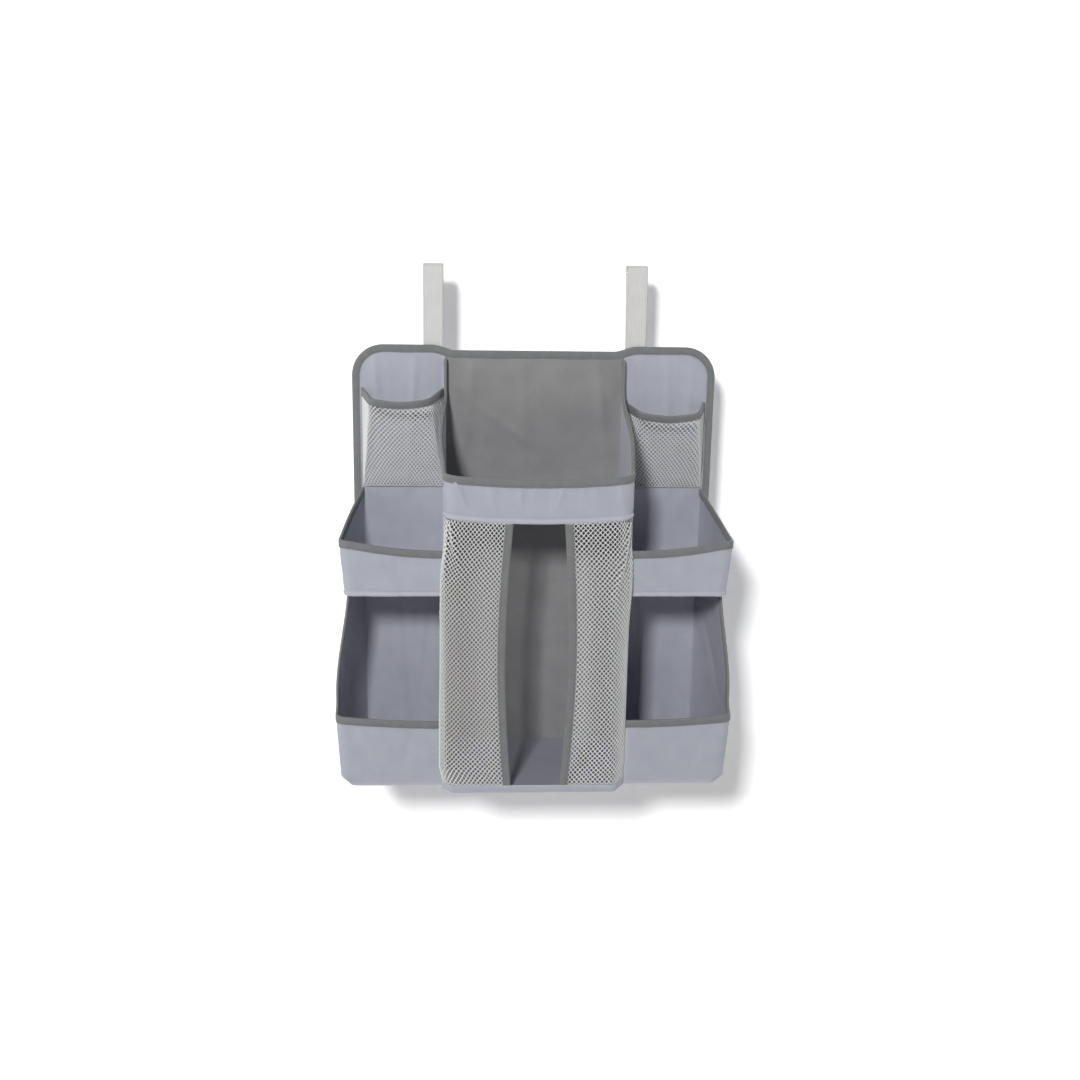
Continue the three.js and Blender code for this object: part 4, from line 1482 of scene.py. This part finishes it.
# ends(depth) gives the left and right ends of the floor at one depth
def makeFloor(name, front, ends, bottom, replaced):
    def surface(u, v):
        depth = mix(front, floors["rearDepth"], v)
        low, high = ends(depth)
        return spot(mix(low, high, u), depth, bottom + floors["top"])

    width, length = spans(surface)

    def ripple(a, b, u, v):
        edge = min(a, width - a, b, length - b)
        slack = 0.35 * waves(a, b, 40, 40, bottom)
        return slack * clamp(edge / 10) - 0.5 * math.exp(-edge / 3.0)

    makeCloth(
        name,
        surface,
        {
            "cells": (44, 44),
            "thickness": floors["thickness"],
            "ripple": ripple,
            "wearEdges": 5.0,
            "rim": 1.1,
            "angle": 60,
            # the darker lilac copy, painted shade
            "material": shadedLilacCloth,
            "slot": "inner_cloth",
            "held": "stretched",
            "replaces": [replaced],
            "restsOn": [replaced.replace("_floor", "_board")],
        },
    )


def centreEnds(depth):
    radius = centreFloor["cornerRadius"]
    over = max(depth - (centreFloor["front"] - radius), 0)
    half = floors["half"] - radius + math.sqrt(max(radius * radius - over * over, 0))
    return -half, half


def diaperEnds(depth):
    share = clamp((depth - diaperFloor["narrowFrom"]) / diaperFloor["narrowRun"])
    half = mix(floors["half"], diaperFloor["frontHalf"], share)
    return -half, half


# Ends of a side box's floor, inside the walls that wrap() gives
def boxEnds(side, half, radius, bulge):
    inset, seamDepth = floors["inset"], sideBox["seamDepth"]
    straight = sideDepth - radius

    def ends(depth):
        if depth > straight:
            inside, corner = radius - inset, depth - straight
            outer = half - radius + math.sqrt(max(inside * inside - corner * corner, 0))
        else:
            back = (straight - depth) / (straight - seamDepth)
            outer = mix(half, sideBox["outerSeam"], back) - inset
            outer += bulge * math.sin(math.pi * clamp(back))
        inner = floors["innerEdge"]
        return (inner, outer) if side > 0 else (-outer, -inner)

    return ends


def makeFloors():
    front, bottom = centreFloor["front"], centreFloor["bottom"]
    makeFloor("centreTrayFloorCloth", front, centreEnds, bottom, "centre_tray_floor")
    makeFloor("diaperFloorCloth", diaperFloor["front"], diaperEnds, 0.0, "diaper_floor")
    front, bottom = sideDepth - floors["inset"], floors["trayBottom"]
    for name, side in sides:
        ends = boxEnds(side, tray["footHalf"], tray["cornerRadius"], tray["bulge"])
        makeFloor(name + "TrayFloorCloth", front, ends, bottom, name + "_tray_floor")
        ends = boxEnds(side, floors["cubbyHalf"], cubby["cornerRadius"], cubby["lowBulge"])
        makeFloor(name + "CubbyFloorCloth", front, ends, 0.0, name + "_cubby_floor")
    for board in [o for o in bpy.data.objects if o.name.endswith("_board")]:
        board.data.materials.clear()
        board.data.materials.append(paperboard)


makeFloors()
print("floors made")


# Diaper compartment: cloth lip, and on each side one net from the divider's seam round the fold
# to the bound edge of the slit
netting = {
    "foot": 10.5,
    "top": 345.0,
    "slitTop": 344.0,
    "slitHalf": 31.5,
    "slitBow": 8.0,
    "foldRadius": 7.0,
    "fold": (98.0, 164.7),
    "corner": (108.0, 150.0),
    "seam": (112.2, 143.2),
}


def slitAt(z):
    share = clamp((z - netting["foot"]) / (netting["slitTop"] - netting["foot"]))
    return netting["slitHalf"] + netting["slitBow"] * math.sin(math.pi * share)


# The point at a share of the length of a line in plan, with its folds rounded
def foldedPlan(points, radius, share):
    legs = [(b - a).length for a, b in zip(points, points[1:])]
    before = share * sum(legs)
    k = 0
    while k < len(legs) - 1 and before > legs[k]:
        before -= legs[k]
        k += 1
    after = legs[k] - before
    r = min(radius, legs[k] / 2)

    def rounded(n, t):
        back = (points[n - 1] - points[n]).normalized() * r
        ahead = (points[n + 1] - points[n]).normalized() * r
        return bezier(points[n] + back, points[n], points[n] + ahead, t)

    if k > 0 and before < r:
        return rounded(k, 0.5 + before / (2 * r))
    if k < len(legs) - 1 and after < r:
        return rounded(k + 1, 0.5 - after / (2 * r))
    return points[k].lerp(points[k + 1], clamp(before / legs[k]))


# How far the loose corner of the net stands out past the divider
def cornerBelly(side, z):
    top = netting["top"]
    fade = ease((z - netting["foot"]) / 22)
    closing = ease((top - z) / 80)
    if side < 0:
        return mix(8.0, mix(13.5, 9.0, z / top), fade) * closing
    return 2.5 * fade * closing + 4.5 * math.exp(-(((z - 268) / 45) ** 2))


# u runs outwards from the slit's edge to the divider's seam
def curtain(side):
    def surface(u, v):
        z = mix(netting["foot"], netting["top"], v)
        out = cornerBelly(side, z)
        points = [
            Vector((slitAt(z), centreDepth)),
            Vector(netting["fold"]) + Vector((0.4 * out if side < 0 else 0.0, 0.0)),
            Vector(netting["corner"]) + Vector((out, 0.2 * out)),
            Vector(netting["seam"]),
        ]
        at = foldedPlan(points, netting["foldRadius"], outwards(u, side))
        return spot(side * at.x, at.y, z + (centreLift(at.x) - 1.0) * v)

    return surface


# Folds that spread from the tray's corners, where the net is gathered
curtainFolds = {
    "left": [(84, 352, 54, 262, 3.6, 3.0), (86, 352, 74, 250, 3.0, 2.6), (70, 130, 66, 20, 1.4, 7)],
    "right": [
        (84, 352, 46, 236, 3.8, 3.2),
        (88, 350, 78, 268, 2.6, 3.0),
        (66, 140, 70, 16, 1.2, 7),
    ],
}


def curtainRipple(name, side):
    def ripple(a, b, u, v):
        run = a if side > 0 else 94 - a
        slack = 1.6 * waves(run, b, 40, 90, 51.0 + side)
        return within(u, 8, 8) * within(v, 14, 40) * (slack + ridges(run, b, curtainFolds[name]))

    return ripple


lipShape = {
    "plan": [(-112, 142.6), (-116, 150), (-103, 164.6), (98, 165), (112, 142.6)],
    "foldRadius": 4.0,
    "height": 10.0,
}


def lip(u, v):
    at = foldedPlan([Vector(p) for p in lipShape["plan"]], lipShape["foldRadius"], u)
    return spot(at.x, at.y, lipShape["height"] * v)


def lipRipple(a, b, u, v):
    return 0.5 * waves(a, b, 22, 20, 61.0) * within(u, 14, 14) + 0.5 * math.sin(math.pi * v)


def makeDiaperSpace():
    makeCloth(
        "frontLip",
        lip,
        {
            "cells": (130, 8),
            "ripple": lipRipple,
            "replaces": ["diaper_front_lip"],
            "restsOn": ["diaperFloorCloth"],
            "wearEdges": 2.0,
        },
    )
    for name, side in sides:
        makeNet(
            name + "CurtainNet",
            curtain(side),
            {
                "ripple": curtainRipple(name, side),
                "replaces": [name + "_curtain_net", name + "_corner_net"],
                "restsOn": ["centreTrayWall", name + "Divider", "frontLip"],
                "seed": 60.0 + side,
            },
        )
        heights = [mix(netting["foot"], netting["slitTop"], k / 60) for k in range(61)]
        into = Vector((side, 0, 0))
        makeTape(
            name + "CurtainBinding",
            [[spot(side * slitAt(z), centreDepth, z), forwards, into] for z in heights],
            {
                "thickness": 1.0,
                "replaces": [name + "_curtain_binding"],
                "restsOn": [name + "CurtainNet"],
                "seed": 12.0 + side,
            },
        )


makeDiaperSpace()
print("diaper compartment made")


# Net pockets on the lobes. Points in plan are of x and depth, and both seams are on the panel.
pocket = {
    "mouth": {"left": 471.0, "right": 456.0},
    "bottom": 353.0,
    "innerSeam": Vector((115.5, 4.7)),
    "innerCorner": Vector((132.0, 47.0)),
    "outerCorner": Vector((203.0, 47.0)),
    "outerSeam": Vector((216.5, 4.7)),
    "footShare": 0.047,
    "foldRadius": 9.0,
    "endLift": 7.0,
    "sag": 4.0,
    "belly": 1.5,
    "nets": ("front", "inner", "outer"),
}


def pocketSurface(name, side):
    innerBack, outerBack = pocket["innerSeam"], pocket["outerSeam"]
    seamDepth = innerBack.y
    reach = pocket["innerCorner"].y - seamDepth
    bottom, mouth = pocket["bottom"], pocket["mouth"][name]

    def surface(u, v):
        share = outwards(u, side)
        open = mix(pocket["footShare"], 1.0, v)
        inner = innerBack.lerp(pocket["innerCorner"], open)
        outer = outerBack.lerp(pocket["outerCorner"], open)
        at = foldedPlan([innerBack, inner, outer, outerBack], pocket["foldRadius"] * open, share)
        inRun, frontRun, outRun = (
            (inner - innerBack).length,
            (outer - inner).length,
            (outerBack - outer).length,
        )
        run = share * (inRun + frontRun + outRun)
        if run < inRun:
            extra = pocket["endLift"] * (1 - run / inRun)
        elif run > inRun + frontRun:
            extra = pocket["endLift"] * ((run - inRun - frontRun) / outRun)
        else:
            extra = -pocket["sag"] * math.sin(math.pi * (run - inRun) / frontRun)
        bow = math.sin(math.pi * clamp((at.y - seamDepth) / reach) / 2)
        belly = pocket["belly"] * math.sin(math.pi * v) * bow
        return spot(side * at.x, at.y + belly, mix(bottom, mouth + extra * v, v))

    return surface


def pocketRipple(side):
    def ripple(a, b, u, v):
        return 1.4 * waves(a, b, 26, 34, 71.0 + side) * min(within(u, 9, 9), within(v, 9, 9))

    return ripple


def makePockets():
    for name, side in sides:
        surface = pocketSurface(name, side)
        makeNet(
            name + "PocketNet",
            surface,
            {
                "ripple": pocketRipple(side),
                "replaces": [name + "_pocket_" + way + "_net" for way in pocket["nets"]],
                "restsOn": [name + "Lobe"],
                "seed": 70.0 + side,
            },
        )
        stations = []
        for k in range(81):
            at = surface(k / 80, 1.0)
            into = (surface(k / 80, 0.9) - at).normalized()
            stations.append([at, normalOf(surface, k / 80, 1.0), into])
        makeTape(
            name + "PocketBinding",
            stations,
            {
                "thickness": 1.0,
                "replaces": [name + "_pocket_binding"],
                "restsOn": [name + "PocketNet"],
                "seed": 15.0 + side,
            },
        )


makePockets()
print("pockets made")


# Straps: webbing sewn to the panel's rear, looped over the rail and closed on itself. A line
# holds points of depth and height, counted to the rear, along the webbing's middle. swing and
# peel are the heights over which the webbing bends at its two hinges. Stitches are rows of
# [x, run, x, run, lift] on a ribbon.
strap = {
    "centre": 127.5,
    "front": 2.3,
    "rear": 28.3,
    "top": 631.2,
    "radius": 5.0,
    "anchorFoot": 434.0,
    "end": 623.2,
    "tailStart": 622.8,
    "tailDepth": 6.2,
    "tailBend": 514.0,
    "bendLength": 14.0,
    "tailFoot": 438.0,
    "patch": (444.2, 496.8),
    "swing": (533.4, 542.0),
    "peel": (624.0, 617.0),
    "peelLean": 1.5,
    "stitchPitch": 2.8,
    "bead": (1.0, 0.35, 0.28),
}
webbingSettings = {
    "width": 25.0,
    "thickness": 1.6,
    "slack": 0.12,
    "material": webbingCloth,
    "slot": "webbing",
}
patchSettings = {
    "width": 22.0,
    "thickness": 0.95,
    "slack": 0.0,
    "material": bristles,
    "slot": "hook_and_loop",
    "held": "laid",
}
anchorStitches = [
    (-10, 3, 10, 3, 0.85),
    (-10, 3, -10, 95, 0.85),
    (10, 3, 10, 95, 0.85),
    (-10, 95, 10, 95, 0.85),
    (-10, 78, 10, 95, 0.85),
    (10, 78, -10, 95, 0.85),
]
tailStitches = [
    (-9.5, 128, 9.5, 128, -0.85),
    (-9.5, 178, 9.5, 178, -0.85),
    (-9.5, 128, -9.5, 178, -0.85),
    (9.5, 128, 9.5, 178, -0.85),
]


# A ribbon's outward direction from its direction along
def ribbonNormal(along):
    return Vector((along.y, -along.x))


def makeRibbon(name, centreX, line, settings):
    wide, thick, seed = settings["width"], settings["thickness"], settings["seed"]
    places, length = evenly(line, 2.0, 6)
    points = [line[k].lerp(line[k + 1], t) for k, t in places]
    rows = len(points) - 1
    bm = newGrid(14, rows)
    uvLayer, wearLayer = addLayers(bm)
    index = {v: (v.co.x + 0.5, round((v.co.y + 0.5) * rows)) for v in bm.verts}
    flat = {}
    for vert, (u, j) in index.items():
        before, after = points[max(j - 1, 0)], points[min(j + 1, rows)]
        normal = ribbonNormal((after - before).normalized())
        a = length * j / rows
        flat[vert] = ((u - 0.5) * wide, a)
        lift = settings["slack"] * waves(u * wide, a, 8, 18, seed)
        at = points[j] + normal * (lift - thick / 2)
        x = centreX + (u - 0.5) * wide + 0.18 * waves(a, u * 3, 12, 3, seed + 5)
        vert.co = place(Vector((x, at.x, at.y)))
        vert[wearLayer] = clamp(1 - min(u, 1 - u) * wide / 2.5)
    source = thicken(bm, thick * mm)
    writeFlat(bm, uvLayer, flat, source)
    roundRim(bm, 1.2, thick * 0.3)
    addStitches(bm, centreX, settings.get("stitches", []), points, length)
    piece = finishPiece(
        name,
        bm,
        [settings["material"], stitchWhite],
        settings["replaces"],
        settings.get("body"),
        angle=60,
    )
    return piece


def addStitches(bm, centreX, rows, points, length):
    matrices = []
    long, wide, high = strap["bead"]
    for x0, a0, x1, a1, lift in rows:
        run = math.hypot(x1 - x0, a1 - a0)
        count = max(int(run / strap["stitchPitch"]), 1)
        for k in range(count):
            t = (k + 0.5) / count
            where = clamp(mix(a0, a1, t) / length) * (len(points) - 1)
            i = min(int(where), len(points) - 2)
            along = (points[i + 1] - points[i]).normalized()
            normal = ribbonNormal(along)
            at = points[i].lerp(points[i + 1], where - i) + normal * lift
            step = (a1 - a0) / run
            direction = Vector(((x1 - x0) / run, along.x * step, along.y * step))
            out = Vector((0, normal.x, normal.y))
            centre = place(Vector((centreX + mix(x0, x1, t), at.x, at.y)))
            turn = direction.cross(out)
            matrices.append(axes(direction * long, turn * wide, out * high, centre))
    addBeads(bm, matrices)


def arcPoints(centre, start, end, count=10):
    found = []
    for k in range(count + 1):
        t = math.radians(mix(start, end, k / count))
        found.append(centre + Vector((math.cos(t), math.sin(t))) * strap["radius"])
    return found


# The loop from the anchor's foot up over the rail, and the tail from there down to the patches
def strapLines():
    front, rear, top, radius = (strap[key] for key in ("front", "rear", "top", "radius"))
    loop = [Vector((front, strap["anchorFoot"])), Vector((front, 533.0))]
    loop += arcPoints(Vector((front + radius, top - radius)), 180, 90)
    loop += arcPoints(Vector((rear - radius, top - radius)), 90, 0)
    loop += [Vector((rear, strap["end"]))]
    knee = Vector((strap["tailDepth"], strap["tailBend"]))
    start = Vector((rear, strap["tailStart"]))
    enter = knee + (start - knee).normalized() * strap["bendLength"]
    leave = knee - Vector((0, strap["bendLength"]))
    tail = [start] + [bezier(enter, knee, leave, k / 12) for k in range(13)]
    return loop, tail + [Vector((strap["tailDepth"], strap["tailFoot"]))]


def makeStraps():
    loop, tail = strapLines()
    for name, side in sides:
        centreX = side * strap["centre"]
        anchor = makeRibbon(
            name + "StrapLoop",
            centreX,
            loop,
            {
                **webbingSettings,
                "seed": 81.0 + side,
                "replaces": [name + "_strap_anchor", name + "_strap"],
                "held": "folded",
                "restsOn": ["rearPanelCloth"],
                "stitches": anchorStitches,
            },
        )
        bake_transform(anchor)
        flap = makeRibbon(
            name + "StrapTail",
            centreX,
            tail,
            {
                **webbingSettings,
                "seed": 85.0 + side,
                "replaces": [name + "_strap_tail"],
                "held": "hung",
                "restsOn": [name + "StrapLoop"],
                "stitches": tailStitches,
            },
        )
        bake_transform(flap)
        patches = (
            ("loop", 3.6, "caddy", name + "StrapLoop"),
            ("hook", 4.9, name + "_tail", name + "StrapTail"),
        )
        for label, depth, body, under in patches:
            makeRibbon(
                name + label.capitalize() + "Patch",
                centreX,
                [Vector((depth, z)) for z in strap["patch"]],
                {
                    **patchSettings,
                    "seed": 90.0 + side,
                    "replaces": [name + "_" + label + "_patch"],
                    "restsOn": [under],
                    "body": body,
                },
            )


makeStraps()
print("straps made")


# Stage: a white sheet that curves from the wall to the floor. It glows fully past far, in metres
# from the frame's origin, and keeps its shadows nearer than near.
stageSettings = {
    "wall": 0.06,
    "gap": 0.36,
    "cove": 0.25,
    "halfWidth": 3.0,
    "depth": 4.0,
    "height": 2.2,
    "near": 1.1,
    "far": 2.6,
    "nearGlow": 0.04,
    "shown": (1.4, 1.4, 1.4, 1),
}


# 1 on rays that show the background itself, from the camera, in a reflection or through glass
def seenDirectly(tree):
    path = tree.nodes.new("ShaderNodeLightPath").outputs
    either = maths(tree, "MAXIMUM", path["Is Camera Ray"], path["Is Glossy Ray"])
    return maths(tree, "MAXIMUM", either, path["Is Transmission Ray"])


# Greyer to the rays that light the caddy, and clear from behind and to the lamps
def backdropMaterial(settings):
    material, tree = newMaterial("backdrop")
    where = objectPlace(tree)
    grain = noiseOf(tree, where, 6.0, 3.0)
    colour = blendColours(tree, grain, (0.5, 0.5, 0.5, 1), (0.54, 0.54, 0.54, 1))
    seen = seenDirectly(tree)
    away = addNode(tree, "ShaderNodeVectorMath", {0: where}, operation="LENGTH").outputs["Value"]
    glow = stretch(tree, away, settings["near"], settings["far"], settings["nearGlow"], 1.0)
    values = {
        "Base Color": blendColours(tree, seen, colour, settings["shown"]),
        "Roughness": 1.0,
        "Specular IOR Level": 0.0,
        "Emission Color": (1, 1, 1, 1),
        "Emission Strength": maths(tree, "MULTIPLY", seen, glow),
    }
    shader = setShader(tree, values)
    clear = addNode(tree, "ShaderNodeBsdfTransparent")
    behind = addNode(tree, "ShaderNodeNewGeometry").outputs["Backfacing"]
    shadow = tree.nodes.new("ShaderNodeLightPath").outputs["Is Shadow Ray"]
    values = {0: maths(tree, "MAXIMUM", behind, shadow), 1: shader.outputs[0], 2: clear.outputs[0]}
    choice = addNode(tree, "ShaderNodeMixShader", values).outputs[0]
    feed(tree, tree.nodes["Material Output"].inputs["Surface"], choice)
    return material


def makeStage(settings):
    wall = cadHigh.y + settings["wall"]
    floor = cadLow.z - settings["gap"]
    cove = settings["cove"]
    profile = [Vector((wall, floor + up)) for up in (settings["height"], cove + 0.4, cove)]
    centre = Vector((wall - cove, floor + cove))
    for k in range(1, 17):
        t = math.pi / 2 * k / 16
        profile.append(centre + Vector((math.cos(t), -math.sin(t))) * cove)
    profile.append(Vector((wall - settings["depth"], floor)))
    rows = len(profile) - 1
    bm = newGrid(2, rows)
    for v in bm.verts:
        j = round((0.5 - v.co.y) * rows)
        v.co = Vector((v.co.x * 2 * settings["halfWidth"], profile[j].x, profile[j].y))
    bm.normal_update()
    if bm.faces[:][0].normal.y > 0 or bm.faces[:][-1].normal.y > 0:
        bmesh.ops.reverse_faces(bm, faces=bm.faces[:])
    mesh = bpy.data.meshes.new("backdrop")
    bm.to_mesh(mesh)
    bm.free()
    mesh.shade_smooth()
    mesh.materials.append(backdropMaterial(settings))
    backdrop = bpy.data.objects.new("backdrop", mesh)
    scene.collection.objects.link(backdrop)


# Sizes and distances in metres, power in watts
lightSettings = {
    "key": {"azimuth": -16, "elevation": 27, "distance": 4.0, "size": 0.5, "power": 110.0},
    "right": {"azimuth": 76, "elevation": 14, "distance": 1.7, "size": 0.9, "power": 6.5},
    "left": {"azimuth": -78, "elevation": 12, "distance": 1.7, "size": 0.9, "power": 7.0},
    "rear": {"azimuth": 160, "elevation": 24, "distance": 2.6, "size": 1.2, "power": 30.0},
}
worldSettings = {
    "colour": (0.98, 0.985, 1.0, 1),
    "strength": 0.03,
}


def makeLights():
    middle = Vector((0, -0.09, -0.33))
    for name, settings in lightSettings.items():
        data = bpy.data.lights.new(name, "AREA")
        data.shape = "SQUARE"
        data.size = settings["size"]
        data.energy = settings["power"]
        aim(bpy.data.objects.new(name, data), middle, settings)
    world = bpy.data.worlds.new("world")
    world.use_nodes = True
    scene.world = world
    tree = world.node_tree
    ambient = tree.nodes["Background"]
    ambient.inputs["Color"].default_value = worldSettings["colour"]
    strength = stretch(tree, seenDirectly(tree), 0.0, 1.0, worldSettings["strength"], 1.0)
    feed(tree, ambient.inputs["Strength"], strength)


makeStage(stageSettings)
makeLights()
scene.view_settings.view_transform = "Standard"
print("stage made")
